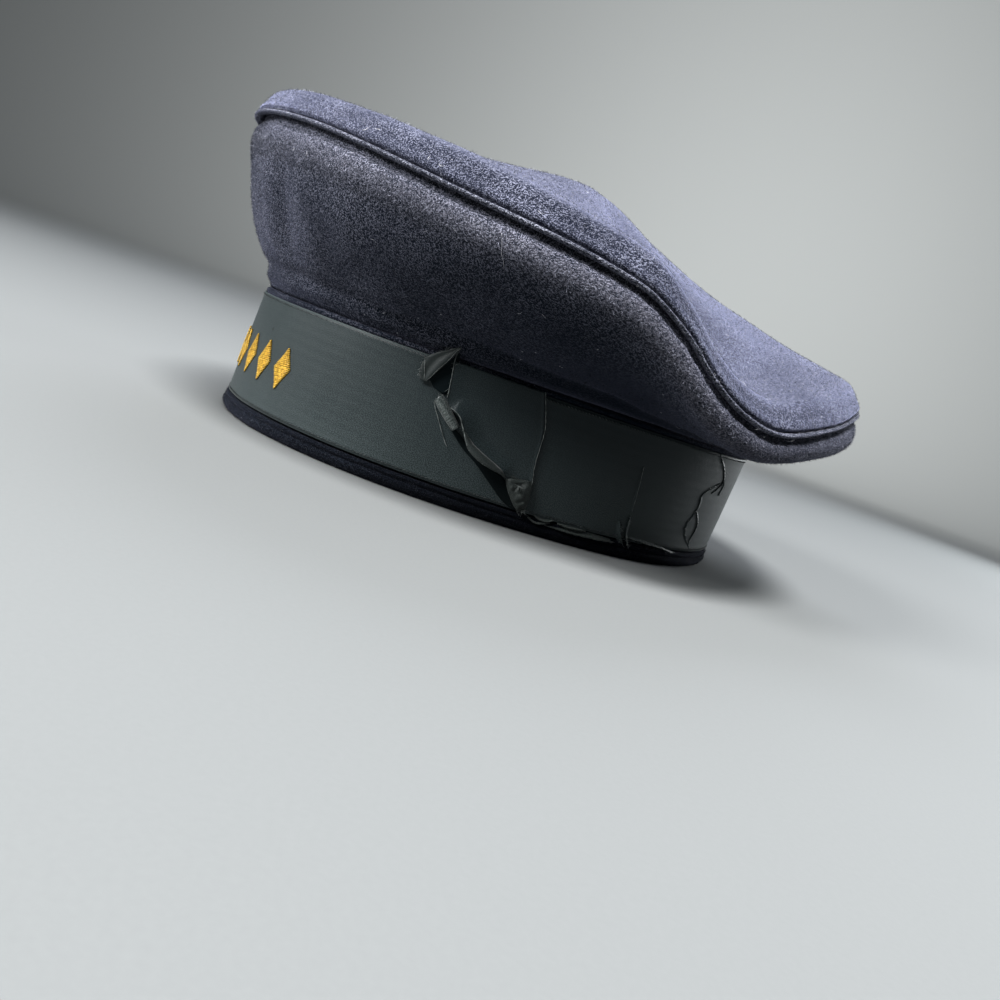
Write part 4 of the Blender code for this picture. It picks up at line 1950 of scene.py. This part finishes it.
LIPS = (
    Lip(
        "pinch_low", 0.9, 1.3, Hand.RIGHT, 0.25, 0.7,
        ((180.0, 12.8), (181.8, 8.9), (184.0, 6.3), (185.6, 4.7)),
    ),
    Lip(
        "pinch_far", 0.7, 1.2, Hand.LEFT, 0.2, 0.0,
        ((183.4, 15.4), (184.2, 9.8), (185.8, 7.0), (187.6, 5.4)),
    ),
    Lip(
        "pinch_high", 0.2, 0.5, Hand.LEFT, 0.02, 0.0,
        ((183.2, 16.4), (182.3, 20.8), (181.4, 26.6), (180.0, 32.5)),
    ),
    Lip(
        "rear_tear", 0.16, 0.8, Hand.LEFT, 0.55, 0.14,
        (
            (214.5, 44.7), (217.4, 42.6), (220.7, 40.7), (224.1, 38.4),
            (226.6, 35.9), (226.7, 33.7), (224.4, 31.5), (221.9, 29.7),
        ),
    ),
    Lip(
        "rear_tear_far", 0.12, 0.5, Hand.RIGHT, 0.45, 0.1,
        ((227.3, 35.8), (229.2, 33.9), (229.3, 31.8), (228.5, 29.4)),
    ),
    Lip(
        "rear_tear_arm", 0.1, 0.5, Hand.RIGHT, 0.5, 0.06,
        ((224.9, 34.0), (222.2, 32.5), (218.7, 31.1), (216.8, 29.7), (215.2, 28.4), (215.3, 26.2)),
    ),
    Lip(
        "rear_crease", 0.06, 1.6, Hand.LEFT, 0.1, 0.0,
        ((215.1, 27.6), (215.8, 25.2), (216.3, 22.4)),
    ),
    Lip(
        "slit_near", 0.1, 0.6, Hand.RIGHT, 0.6, 0.04,
        (
            (215.6, 22.8), (215.4, 20.8), (214.5, 18.7), (213.7, 16.7),
            (214.2, 14.5), (216.3, 12.4), (219.6, 10.2), (224.4, 7.4),
        ),
    ),
    Lip(
        "slit_far", 0.16, 0.7, Hand.LEFT, 0.6, 0.12,
        (
            (215.8, 22.3), (218.7, 20.2), (221.0, 17.8), (221.8, 15.2),
            (221.3, 12.8), (221.0, 10.8), (222.0, 9.2),
        ),
    ),
    Lip(
        "low_fold", 1.2, 1.6, Hand.LEFT, 0.1, 0.0,
        ((154.0, 4.6), (162.2, 4.4), (169.3, 4.5), (176.8, 4.8), (181.7, 5.0)),
    ),
    Lip(
        "low_crease_one", 1.0, 0.8, Hand.LEFT, 0.05, 0.3,
        ((147.6, 5.6), (149.6, 4.7), (151.8, 4.6), (155.5, 5.7)),
    ),
    Lip(
        "low_crease_two", 0.9, 0.7, Hand.LEFT, 0.05, 0.3,
        ((149.2, 6.8), (151.6, 5.9), (154.2, 6.0), (156.4, 6.9)),
    ),
    Lip(
        "low_crease_three", 0.8, 0.7, Hand.LEFT, 0.05, 0.0,
        ((158.2, 6.2), (163.0, 5.9), (169.0, 6.4)),
    ),
    Lip(
        "rear_edge", 0.25, 0.9, Hand.LEFT, 0.3, 0.6,
        ((184.6, 8.0), (192.9, 7.2), (203.2, 6.5), (207.1, 6.0), (211.4, 5.4), (216.7, 4.9)),
    ),
)


class PaintedShadow(NamedTuple):
    """A painted shadow under torn cloth: a dark sheet between two edges given as (distance, height) in mm."""

    name: str
    upper: Course
    lower: Course


PAINTED_SHADOWS = (
    PaintedShadow(
        "flap_hollow",
        ((101.0, 37.4), (103.2, 41.6), (105.4, 46.2), (106.8, 49.4)),
        ((103.2, 35.4), (107.6, 34.6), (107.9, 40.0), (107.2, 47.5)),
    ),
    PaintedShadow(
        "lip_hollow",
        (
            (114.8, 25.2), (119.7, 22.1), (123.8, 19.6), (128.8, 17.0),
            (134.5, 15.6), (138.0, 12.4), (141.6, 8.8), (144.0, 6.6),
        ),
        (
            (113.6, 24.4), (119.0, 20.2), (124.8, 16.9), (130.9, 12.6),
            (135.9, 9.1), (140.1, 6.9), (143.0, 6.4),
        ),
    ),
)


class Hairline(NamedTuple):
    """A fine bright edge of torn cloth, in mm: its radius and its course as (distance, height, lift)."""

    radius: float
    line: Course


HAIRLINES = (
    Hairline(0.13, ((107.0, 49.2, 1.0), (106.4, 46.8, 1.4), (107.6, 40.0, 1.4), (108.8, 33.7, 1.5))),
    Hairline(
        0.2,
        (
            (110.5, 31.3, 2.5), (112.6, 30.8, 2.9), (114.8, 29.6, 3.0),
            (116.5, 27.2, 3.0), (118.5, 24.2, 3.3), (120.2, 21.9, 3.9),
        ),
    ),
    Hairline(
        0.1,
        ((136.4, 45.6, 1.1), (140.3, 36.6, 1.1), (141.4, 32.4, 1.1), (142.5, 23.4, 1.1), (144.2, 16.0, 1.2)),
    ),
    Hairline(
        0.14,
        ((105.4, 32.6, 1.6), (105.8, 30.3, 0.6), (110.0, 24.4, 0.4), (113.6, 19.8, 0.4), (114.5, 19.2, 0.7)),
    ),
    Hairline(0.09, ((100.7, 36.6, 1.5), (103.1, 41.4, 2.3), (105.2, 45.6, 2.9), (107.0, 49.8, 3.6))),
    Hairline(0.09, ((97.6, 43.6, 1.7), (98.4, 41.2, 1.8), (99.2, 39.0, 1.6), (99.8, 36.9, 1.3))),
    Hairline(0.07, ((180.0, 32.6, 0.3), (181.8, 24.5, 0.35), (183.0, 17.0, 0.45))),
    Hairline(0.07, ((185.6, 7.9, 0.5), (192.9, 7.2, 0.6), (203.2, 6.5, 0.6), (209.4, 5.7, 0.5))),
)


@dataclass
class TornBow:
    """What is left of the flat bow: folded corner, rolled strip, loose end, pouch and tears.

    Its sizes are in mm where they aren't given with MM. A place is (distance, height).
    """

    cloth_wall: float = 0.3 * MM
    apart: float = 50.0
    end_cut: Cut = Cut((0.038, 0.034), Held.LAID, ("ribbon",))
    flap_cut: Cut = Cut((0.014, 0.018), Held.FOLDED, ("ribbon",))
    roll_cut: Cut = Cut((0.018, 0.016), Held.FOLDED, ("ribbon",))
    pouch_cut: Cut = Cut((0.022, 0.014), Held.GATHERED, ("ribbon",))
    end_rows: int = 84
    end_columns: int = 64
    end_crowding: float = 1.4
    end_wobble: float = 0.3
    end_slack: float = 0.15
    rest_lift: float = 0.5
    curl_reach: float = 6.5
    back_rise: float = 0.3
    back_reach: float = 0.5
    hem_columns: int = 9
    hem_width: float = 2.3
    hem_way: tuple[float, float] = (0.42, 0.9)
    hem_rise: float = 0.5
    hem_settling: float = 0.44
    flap_rows: int = 40
    flap_columns: int = 16
    flap_under_columns: int = 12
    flap_ragged: float = 0.45
    flap_ripple: float = 0.22
    flap_fold: float = 3.4
    flap_rest: float = 0.7
    flap_least_lift: float = 0.35
    roll_rows: int = 26
    roll_columns: int = 44
    roll_start: float = radians(150)
    roll_winding: float = radians(560)
    roll_cloth: float = 12.0
    roll_slack: Unevenness = Unevenness(0.15, 2.5, 1.0, 2)
    roll_slant: float = 0.5 * MM
    pouch_rows: int = 40
    pouch_columns: int = 48
    pouch_lift: float = 0.55
    pouch_least_lift: float = 0.3
    pleats: int = 6
    pleat_height: float = 0.22
    pleat_middle: tuple[float, float] = (139.8, 15.2)
    dent_depth: float = 0.9
    dent_middle: tuple[float, float] = (140.4, 14.4)
    crumples: float = 0.5
    lip_columns: int = 9
    lip_least_rows: int = 24
    lip_rows: int = 12
    lip_sink: float = 0.12
    opening_columns: int = 4
    opening_overlap: float = 0.15
    opening_lift: float = 0.06
    frayed_from: float = 0.15
    shadow_rows: int = 40
    shadow_columns: int = 10
    shadow_lift: float = 0.16
    knot: Triple = (140.2, 14.6, 2.3)
    knot_size: float = 0.25 * MM
    fray_radius: float = 0.045 * MM
    fray_lengths: tuple[float, float] = (0.4, 1.5)
    fray_pull: Triple = (0.0, -0.3, -0.5)
    frays: int = 28
    few_frays: int = 10
    little_frayed: tuple[str, ...] = ("rear", "slit", "low")
    hairline_points: int = 44
    hairline_shake: float = 0.12

    def dress(
        self, name: str, silk: Material, flat: Array, points: Array, closed: bool = False
    ) -> tuple[Object, ClothGrid]:
        """Build a cloth piece with its places, thickness and finish.

        Args:
            name: its name.
            silk: its finish.
            flat: the place of each point on the flat ribbon.
            points: its points.
            closed: whether its columns close into a ring.

        Returns:
            The piece, and its face before it gets its thickness.
        """
        cloth = ClothGrid(points, closed)
        made = cloth.build(name)
        apart = np.full((*flat.shape[:-1], 1), self.apart)
        keep_places(made, np.concatenate([flat, apart], -1) * MM)
        # Painted shade where the piece lies under the crown
        keep_values(made, "shelter", FORM.ribbon_painted_shade(points))
        thicken(made, self.cloth_wall)
        wear(made, silk, Slot.RIBBON)
        return made, cloth

    def lay(
        self, name: str, silk: Material, flat: Array, lift: Array, closed: bool = False
    ) -> tuple[Object, ClothGrid]:
        """Build a cloth piece that lies over the ribbon."""
        points = FORM.on_ribbon(flat[..., 0], flat[..., 1], lift)
        return self.dress(name, silk, flat, points, closed)

    def make_end(self, silk: Material, worn: Material) -> Array:
        """The loose ribbon end, whose torn front edge curls out and turns over.

        Args:
            silk: the ribbon's finish.
            worn: the finish of its turned edge.

        Returns:
            The torn edge's points.
        """
        rows = np.array(RIBBON_END, float)
        front = smooth_line(rows[:, [1, 0, 3]], self.end_rows)
        back = smooth_line(rows[:, [2, 0]], self.end_rows)
        front[:, 0] += twist(self.end_rows, 0.45, 1.0) * self.end_wobble
        part = np.linspace(0, 1, self.end_columns)[:, None] ** self.end_crowding
        flat = between(front[:, None, :2], back[:, None], part)
        gaps = np.linalg.norm(flat[:, :, None] - front[None, None, :, :2], axis=-1)
        near = np.clip(1 - gaps.min(-1) / self.curl_reach, 0, 1)
        flow = np.concatenate([flat * 0.05, np.full((*flat.shape[:-1], 1), 3.0)], -1)
        lift = self.rest_lift + front[gaps.argmin(-1), 2] * near**2
        lift += fractal(flow, 1.0, 2.0, 2) * self.end_slack
        lift += self.back_rise * hump(back[:, None, 0] - flat[..., 0], self.back_reach)
        made, cloth = self.lay("ribbon_end", silk, flat, lift)
        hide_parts("ribbon_end")
        self.make_hem(front[2 : self.end_rows // 2], worn)
        self.end_cut.declare(made, cloth.area(), ["turned_hem"])
        return cloth.points[:, 0]

    def make_hem(self, edge: Array, worn: Material) -> None:
        """The torn edge of the loose end, turned over.

        Args:
            edge: its course, as rows of distance, height and curl.
            worn: its finish.
        """
        over = np.linspace(-0.2, 1, self.hem_columns)
        curled = np.clip(over, 0, 1)
        width = self.hem_width * arch(len(edge), 0.05, 0.8)[:, None] * over
        flat = edge[:, None, :2] + width[..., None] * self.hem_way
        lift = self.rest_lift + self.hem_rise * np.sin(curled * pi * 0.9)
        self.lay("turned_hem", worn, flat, lift + edge[:, 2:] * (1 - self.hem_settling * curled**1.5))

    def make_flap(self, worn: Material) -> Array:
        """The folded corner, doubled back under itself along its far edge.

        Args:
            worn: its finish.

        Returns:
            The torn edge's points.
        """
        table = np.array(BOW_FLAP, float)
        height = np.linspace(table[0, 0], table[-1, 0], self.flap_rows)
        columns = [np.interp(height, table[:, 0], column)[:, None] for column in table[:, 1:].T]
        front, back, front_lift, back_lift = columns
        part = np.linspace(0, 1, self.flap_columns)
        ragged = twist(self.flap_rows, 0.8, 4.0)[:, None] * self.flap_ragged
        face = between(front + ragged, back, part)
        ripple = self.flap_ripple * np.sin(part * pi * 3) * (back - front) / 6
        under = np.linspace(0, 1, self.flap_under_columns)[1:]
        fold = back + 0.2 * np.sin(under * pi) - self.flap_fold * np.maximum(0, under - 0.25)
        drop = back_lift - np.minimum(1, under * 2.2) * (back_lift - self.flap_rest) * 0.8
        drop = np.maximum(drop, self.flap_least_lift)
        distance = np.concatenate([face, fold], 1)
        lift = np.concatenate([between(front_lift, back_lift, part) + ripple, drop], 1)
        flat = np.stack([distance, np.broadcast_to(height[:, None], distance.shape)], -1)
        made, cloth = self.lay("bow_flap", worn, flat, lift)
        self.flap_cut.replace(made, "bow_flap", cloth.area())
        return cloth.points[:, 0]

    def make_roll(self, worn: Material) -> Array:
        """The rolled strip: thin cloth wound once and a half.

        Args:
            worn: its finish.

        Returns:
            The points at its frayed upper end.
        """
        stops = smooth_line(BOW_ROLL, self.roll_rows)
        path = FORM.on_ribbon(stops[:, 0], stops[:, 1], stops[:, 2])
        tangent = unit(np.gradient(path, axis=0))
        out = path - INSIDE
        out = unit(out - tangent * (out * tangent).sum(1, keepdims=True))
        across = np.cross(tangent, out)
        wind = np.linspace(0, 1, self.roll_columns)
        angle = (self.roll_start + wind * self.roll_winding)[:, None]
        size = stops[:, None, 3] * (0.5 + 0.5 * wind**0.6) * MM
        ring = across[:, None] * np.cos(angle) + out[:, None] * np.sin(angle)
        points = path[:, None] + ring * size[..., None]
        points += out[:, None] * self.roll_slack.over(points)[..., None]
        slant = np.cos(angle) * np.linspace(1, 0, self.roll_rows)[:, None, None]
        points += tangent[:, None] * slant * self.roll_slant
        flat = np.stack([stops[:, :1] + wind * self.roll_cloth, stops[:, 1:2] + 0 * wind], -1)
        made, cloth = self.dress("bow_roll", worn, flat, points)
        self.roll_cut.replace(made, "bow_roll", cloth.area())
        return points[0]

    def make_pouch(self, silk: Material) -> Array:
        """The small puffed end of the torn loop, with pleats that run to its knot.

        Args:
            silk: its finish.

        Returns:
            The points round its lower end.
        """
        rows = smooth_line(np.array(POUCH, float)[:, [1, 0, 2, 3]], self.pouch_rows)
        front, middle, back, puff = rows.T[..., None]
        angle = np.linspace(0, 2 * pi, self.pouch_columns, endpoint=False)
        distance = (back + front) / 2 + (back - front) / 2 * np.cos(angle)
        height = middle + 0.5 * np.sin(angle * 2)
        flat = np.stack([distance, height], -1)
        face = np.maximum(np.sin(angle), 0)
        along, up = np.moveaxis(flat - self.pleat_middle, -1, 0)
        spokes = np.arctan2(up, along) * self.pleats + middle * 0.2
        pleats = self.pleat_height * np.sin(spokes) * face * puff / 1.9
        dent = self.dent_depth * np.exp(-((flat - self.dent_middle) ** 2).sum(-1) / 1.6) * face
        lift = self.pouch_lift + puff * face**0.6 + pleats - dent
        flow = np.stack([distance * 0.6, height * 0.6, lift * 0.5], -1)
        lift = lift + fractal(flow, 1.0, 8.0, 3) * self.crumples * face
        made, cloth = self.lay("bow_pouch", silk, flat, np.maximum(lift, self.pouch_least_lift), True)
        self.pouch_cut.replace(made, "bow_pouch", cloth.area())
        return cloth.points[-1]

    def make_lip(self, lip: Lip, silk: Material, dark: Material) -> Array:
        """One raised edge on the ribbon, with a dark sheet of painted shade in the opening beside it where it
        has one.

        Args:
            lip: its course and size.
            silk: its finish.
            dark: the painted shade laid in the opening.

        Returns:
            The edge's points.
        """
        line = smooth_line(lip.line, max(self.lip_least_rows, len(lip.line) * self.lip_rows))
        count = len(line)
        run = unit(np.gradient(line, axis=0))
        side = np.stack([-run[:, 1], run[:, 0]], -1)[:, None] * lip.side.value
        ends = arch(count, 0.1, 0.6)[:, None]
        spots = [Vector((row * 0.6, lip.lift * 7, 1.0)) for row in range(count)]
        rough = np.array([noise.fractal(spot, 0.6, 2.3, 3) for spot in spots])[:, None]
        patchy = twist(count, 0.3, lip.lift * 9, 6.0)[:, None]
        edge = line[:, None] - side * (rough * lip.ragged)[..., None]
        part = np.linspace(0, 1, self.lip_columns)
        reach = lip.width * ends * part
        lift = lip.lift * ends * (1 + 0.35 * rough) * (1 - part) ** 2 + 0.02 - self.lip_sink * part**2
        _, cloth = self.lay(lip.name, silk, edge + side * reach[..., None], lift)
        # The opening is a dark sheet of painted shade
        if lip.gap > 0:
            wide = lip.gap * ends * np.clip(1 + 2.4 * patchy + 0.5 * rough, 0.1, 2.4)
            part = np.linspace(0, 1, self.opening_columns)
            reach = between(self.opening_overlap * ends, -wide, part)
            flat = edge + side * reach[..., None]
            self.lay(lip.name + "_opening", dark, flat, np.full(flat.shape[:2], self.opening_lift))
        return cloth.points[:, 0]

    def make_painted_shadow(self, painted_shadow: PaintedShadow, dark: Material) -> None:
        """A painted shadow under the torn cloth: a dark sheet laid on the ribbon.

        Args:
            painted_shadow: its edges.
            dark: its finish.
        """
        upper, lower = (smooth_line(edge, self.shadow_rows)[:, None] for edge in (painted_shadow.upper, painted_shadow.lower))
        flat = between(upper, lower, np.linspace(0, 1, self.shadow_columns)[:, None])
        self.lay(painted_shadow.name, dark, flat, np.full(flat.shape[:2], self.shadow_lift))

    def make_frays(self, roots: dict[str, Array], thread: Material) -> None:
        """Broken threads along the torn edges, and the knot of threads in the pouch.

        Args:
            roots: the torn edges' points by name.
            thread: their finish.
        """
        dice = np.random.default_rng(5)
        knot = FORM.on_ribbon(*self.knot) + dice.normal(size=(5, 3)) * self.knot_size
        steps = np.linspace(0, 1, 6)[:, None] * MM
        paths = []
        for name, edge in {**roots, "knot": knot}.items():
            few = any(word in name for word in self.little_frayed)
            for _ in range(self.few_frays if few else self.frays):
                root = edge[dice.integers(len(edge))]
                way = unit(dice.normal(size=3) * 0.8 + unit(root - INSIDE) * 0.5 + self.fray_pull)
                bend = np.cross(way, dice.normal(size=3)) * 0.5
                along = steps * dice.uniform(*self.fray_lengths)
                paths.append(root + way * along + bend * along**2 / MM)
        wear(tubes("torn_threads", paths, [self.fray_radius] * len(paths), 4), thread, Slot.RIBBON)

    def make_hairlines(self, thread: Material) -> None:
        """The fine bright edges of the torn cloth, and the loose thread by the rolled strip.

        Args:
            thread: their finish.
        """
        paths = []
        for hairline in HAIRLINES:
            line = smooth_line(hairline.line, self.hairline_points)
            shake = fractal(line * LEVEL, 2.2, 3.0, 2) * self.hairline_shake
            paths.append(FORM.on_ribbon(line[:, 0] + shake, line[:, 1], line[:, 2]))
        radii = [hairline.radius * MM for hairline in HAIRLINES]
        wear(tubes("bright_edges", paths, radii, 5), thread, Slot.RIBBON)

    def build(self, finishes: Finishes) -> list[Object]:
        """Build the torn bow.

        Args:
            finishes: the cap's materials.

        Returns:
            The raised edges and openings that belong to the ribbon.
        """
        roots = {
            "end": self.make_end(finishes.silk, finishes.worn),
            "flap": self.make_flap(finishes.crumpled),
            "roll": self.make_roll(finishes.rolled),
            "pouch": self.make_pouch(finishes.crumpled),
        }
        known = set(bpy.data.objects)
        for painted_shadow in PAINTED_SHADOWS:
            self.make_painted_shadow(painted_shadow, finishes.shadow)
        for lip in LIPS:
            silk = finishes.worn if lip.name.startswith("low") else finishes.silk
            edge = self.make_lip(lip, silk, finishes.shadow)
            if lip.ragged > self.frayed_from:
                roots[lip.name] = edge
        raised = [made for made in bpy.data.objects if made not in known]
        self.make_frays(roots, finishes.thread)
        self.make_hairlines(finishes.thread)
        return raised


@dataclass
class Trimming:
    """Plain satin-stitched lozenges in gold thread across the ribbon's front, in mm."""

    count: int = 9
    pitch: float = 12.0
    middle: float = 23.2
    half_height: float = 7.2
    half_width: float = 4.3
    thread_pitch: float = 0.62
    thread_radius: float = 0.3 * MM
    uneven_width: float = 0.18
    uneven_height: float = 0.03
    slant: float = 0.35
    padding: tuple[float, float] = (0.30, 0.25)
    sink: float = 0.1

    def build(self, gold: Material) -> None:
        """Build the row of lozenges.

        Args:
            gold: the thread's finish.
        """
        dice = np.random.default_rng(3)
        across = np.linspace(-1, 1, 7)
        least, more = self.padding
        paths = []
        for index in range(self.count):
            centre = (index - (self.count - 1) / 2) * self.pitch
            for thread in range(int(2 * self.half_height / self.thread_pitch)):
                up = (thread + 0.5) * self.thread_pitch - self.half_height
                half = self.half_width * (1 - abs(up) / self.half_height)
                half += dice.uniform(0.0, self.uneven_width)
                height = self.middle + up + across * self.slant
                height = height + dice.uniform(-self.uneven_height, self.uneven_height)
                lift = (least + more * half / self.half_width) * np.sqrt(1 - across**2 * 0.96)
                paths.append(FORM.on_ribbon(centre + across * half, height, lift - self.sink))
        made = tubes("lozenge_stitching", paths, [self.thread_radius] * len(paths), 5)
        wear(made, gold, Slot.RIBBON)


class Hair(NamedTuple):
    """A stray hair on the wool: the turns and parts of the side where it starts and ends."""

    turn: float
    part: float
    end_turn: float
    end_part: float
    rise: float


HAIRS = (
    Hair(17.6, 0.86, 22.0, 0.62, 0.8),
    Hair(-23.4, 0.95, -21.6, 0.80, 0.5),
)


class Speck(NamedTuple):
    """A curl of lint where it lies on the cap, in mm, and its length."""

    x: float
    y: float
    z: float
    length: float


SPECKS = (
    Speck(71, -101, 89, 1.6),
    Speck(64, -106, 89, 1.2),
    Speck(115, 46, 55, 2.0),
    Speck(84, -90, 99, 3.2),
    Speck(86, -87, 99, 2.4),
    Speck(100, -72, 95, 1.8),
    Speck(102, -69, 95, 2.2),
    Speck(34, -10, 114, 2.4),
    Speck(105, 65, 62, 2.6),
    Speck(116, -42, 91, 2.0),
    Speck(118, 40, 57, 2.6),
    Speck(111, 57, 57, 3.0),
)


@dataclass
class Lint:
    """White lint and stray hairs caught in the nap. The counts and seeds are of the crown's faces."""

    counts: tuple[int, int, int] = (46, 30, 26)
    seeds: tuple[int, int, int] = (79, 80, 79)
    length: tuple[float, float] = (0.5 * MM, 2.2 * MM)
    radius: float = 0.045 * MM
    bend: float = 1.2
    bit_lift: float = 0.35 * MM
    curl_lift: float = 0.8 * MM
    curl_span: float = 2.6
    curl_layers: tuple[float, ...] = (0.0, 0.35)
    hair_lift: float = 0.9
    hair_waver: float = 0.4 * MM

    def bits(self, faces: Sequence[ClothGrid], dice: np.random.Generator) -> list[Array]:
        """Short bits of lint spread over the crown.

        Args:
            faces: the faces of the top, the side and the welt.
            dice: the random numbers.

        Returns:
            Their courses.
        """
        along = np.linspace(-0.5, 0.5, 7)[:, None]
        paths = []
        for face, count, seed in zip(faces, self.counts, self.seeds):
            for place, normal in zip(*face.scatter(count, seed)):
                way = unit(np.cross(normal, dice.normal(size=3)))
                turn = np.cross(normal, way) * dice.uniform(-self.bend, self.bend)
                reach = dice.uniform(*self.length)
                lift = normal * (self.bit_lift + 0.3 * reach * (0.25 - along**2))
                paths.append(place + way * along * reach + turn * along**2 * reach + lift)
        return paths

    def curls(self, faces: Sequence[ClothGrid], dice: np.random.Generator) -> list[Array]:
        """The curls of lint at the places of SPECKS.

        Args:
            faces: the faces of the top, the side and the welt.
            dice: the random numbers.

        Returns:
            Their courses.
        """
        skins = np.concatenate([face.points.reshape(-1, 3) for face in faces])
        outs = np.concatenate([face.normals().reshape(-1, 3) for face in faces])
        paths = []
        for speck in SPECKS:
            spot = np.array([speck.x, speck.y, speck.z]) * MM
            nearest = np.linalg.norm(skins - spot, axis=1).argmin()
            root, out = skins[nearest], outs[nearest]
            way = unit(np.cross(out, dice.normal(size=3)))
            turn = np.cross(out, way)
            bend = np.linspace(-1.6, 1.6, 12)[:, None] * dice.uniform(0.7, 1.2)
            curl = (way * np.sin(bend) + turn * np.cos(bend) * 0.7) * speck.length * MM / self.curl_span
            for layer in self.curl_layers:
                paths.append(root + out * self.curl_lift + curl * (1 - layer) + way * layer * MM)
        return paths

    def hairs(self) -> list[Array]:
        """The stray hairs on the side.

        Returns:
            Their courses.
        """
        part = np.linspace(0, 1, 24)
        paths = []
        for hair in HAIRS:
            turn = between(hair.turn, hair.end_turn, part)
            points = FORM.side(turn, between(hair.part, hair.end_part, part))
            bow = (self.hair_lift + hair.rise * np.sin(part * pi)) * MM
            waver = UP * self.hair_waver * np.sin(part * 9)[:, None]
            paths.append(points + unit(points * LEVEL) * bow[:, None] + waver)
        return paths

    def build(self, faces: Sequence[ClothGrid], fluff: Material) -> None:
        """Build the lint.

        Args:
            faces: the faces of the top, the side and the welt.
            fluff: the finish.
        """
        dice = np.random.default_rng(8)
        paths = self.bits(faces, dice) + self.curls(faces, dice) + self.hairs()
        wear(tubes("lint", paths, [self.radius] * len(paths), 4), fluff, Slot.WOOL)


class Lamp(NamedTuple):
    """A soft studio lamp: where it stands, what it looks at, its width and power."""

    name: str
    place: Triple
    aim: Triple
    width: float
    power: float
    colour: Triple


LAMPS = (
    Lamp("key softbox", (0.50, -0.10, 1.15), (0.05, 0.0, 0.08), 0.42, 32.0, (1.0, 1.0, 1.0)),
    Lamp("side softbox", (0.40, -1.00, 0.80), (0.0, -0.05, 0.06), 0.5, 20.0, (1.0, 1.0, 1.0)),
    Lamp("rear softbox", (-0.85, 0.15, 0.95), (0.0, 0.0, 0.10), 0.7, 9.5, (0.90, 0.93, 1.0)),
    Lamp("front softbox", (-0.1, -1.20, 0.40), (0.0, -0.05, 0.06), 0.6, 4.0, (1.0, 0.99, 0.98)),
    Lamp("rear side softbox", (-0.40, 1.00, 0.32), (0.0, 0.05, 0.05), 0.4, 6.0, (0.94, 0.98, 1.0)),
    Lamp("backdrop lamp", (-1.6, 0.9, 1.9), (-3.6, 1.6, 0.8), 0.8, 130.0, (1.0, 1.0, 0.99)),
)


@dataclass
class Studio:
    """The pale floor that sweeps up behind the cap, the lamps, and the photograph's camera."""

    floor_rings: tuple[float, ...] = (0.02, 0.3, 1.0)
    floor_radius: float = 2.0
    floor_sides: int = 96
    floor_gap: float = 0.02 * MM
    sweep_steps: int = 24
    wall_radius: float = 4.0
    wall_height: float = 2.6
    camera_place: Triple = (0.37158, -0.10004, 0.05542)
    camera_right: Triple = (0.21432, 0.919, 0.33092)
    camera_up: Triple = (-0.23335, -0.28081, 0.93096)
    camera_back: Triple = (0.94848, -0.27674, 0.15426)
    lens: float = 34.2
    sensor_width: float = 36.0
    clip_start: float = 0.01
    print_gamma: float = 0.86
    print_exposure: float = 0.3
    sky: Triple = (0.35, 0.72, 1.0)
    sky_strength: float = 0.06

    def make_floor(self) -> None:
        """The floor, flat under the cap and sweeping up far behind it."""
        bend = self.wall_radius - self.floor_radius
        rings = [(radius, 0.0) for radius in self.floor_rings]
        for angle in np.linspace(0, pi / 2, self.sweep_steps):
            rings.append((self.floor_radius + bend * np.sin(angle), bend * (1 - np.cos(angle))))
        rings.append((self.wall_radius, self.wall_height))
        turn = round_turns(self.floor_sides)
        points = np.stack([FORM.ring(turn, radius, height - self.floor_gap) for radius, height in rings])
        faces = [ClothGrid(points).faces()[:, ::-1], np.arange(self.floor_sides)[None]]
        floor = make_object("studio_floor", points.reshape(-1, 3), faces)
        floor.data.materials.append(FloorFinish().make())

    def make_lamps(self) -> None:
        """The soft lamps and the even light of the room."""
        for lamp in LAMPS:
            light = bpy.data.lights.new(lamp.name, "AREA")
            light.shape = "DISK"
            light.size = lamp.width
            light.energy = lamp.power
            light.color = lamp.colour
            holder = bpy.data.objects.new(lamp.name, light)
            holder.location = lamp.place
            aim = Vector(lamp.aim) - Vector(lamp.place)
            holder.rotation_mode = "QUATERNION"
            holder.rotation_quaternion = aim.to_track_quat("-Z", "Y")
            bpy.context.scene.collection.objects.link(holder)
        world = bpy.data.worlds.new("studio room")
        world.use_nodes = True
        back = world.node_tree.nodes["Background"]
        back.inputs["Color"].default_value = (*self.sky, 1)
        back.inputs["Strength"].default_value = self.sky_strength
        bpy.context.scene.world = world

    def make_camera(self) -> None:
        """The camera at the photograph's angle to the cap."""
        data = bpy.data.cameras.new("photograph")
        data.lens = self.lens
        data.sensor_width = self.sensor_width
        data.clip_start = self.clip_start
        holder = bpy.data.objects.new("photograph", data)
        axes = Matrix((self.camera_right, self.camera_up, self.camera_back)).transposed()
        holder.matrix_world = Matrix.Translation(self.camera_place) @ axes.to_4x4()
        bpy.context.scene.collection.objects.link(holder)
        bpy.context.scene.camera = holder

    def build(self) -> None:
        """Build the studio, and set how light and dark the picture prints."""
        self.make_floor()
        self.make_lamps()
        self.make_camera()
        view = bpy.context.scene.view_settings
        view.view_transform = "Standard"
        view.gamma = self.print_gamma
        view.exposure = self.print_exposure


def main() -> None:
    """Build the studio and every piece of the cap in order."""
    logging.basicConfig(level=logging.INFO, format="%(message)s")
    Studio().build()
    finishes = make_finishes()
    faces = Crown().build(finishes)
    stand = Stand()
    ribbon = stand.build(finishes)
    stand.declare_ribbon(ribbon, TornBow().build(finishes))
    Trimming().build(finishes.gold)
    Lint().build(faces, finishes.fluff)


if __name__ == "__main__":
    main()
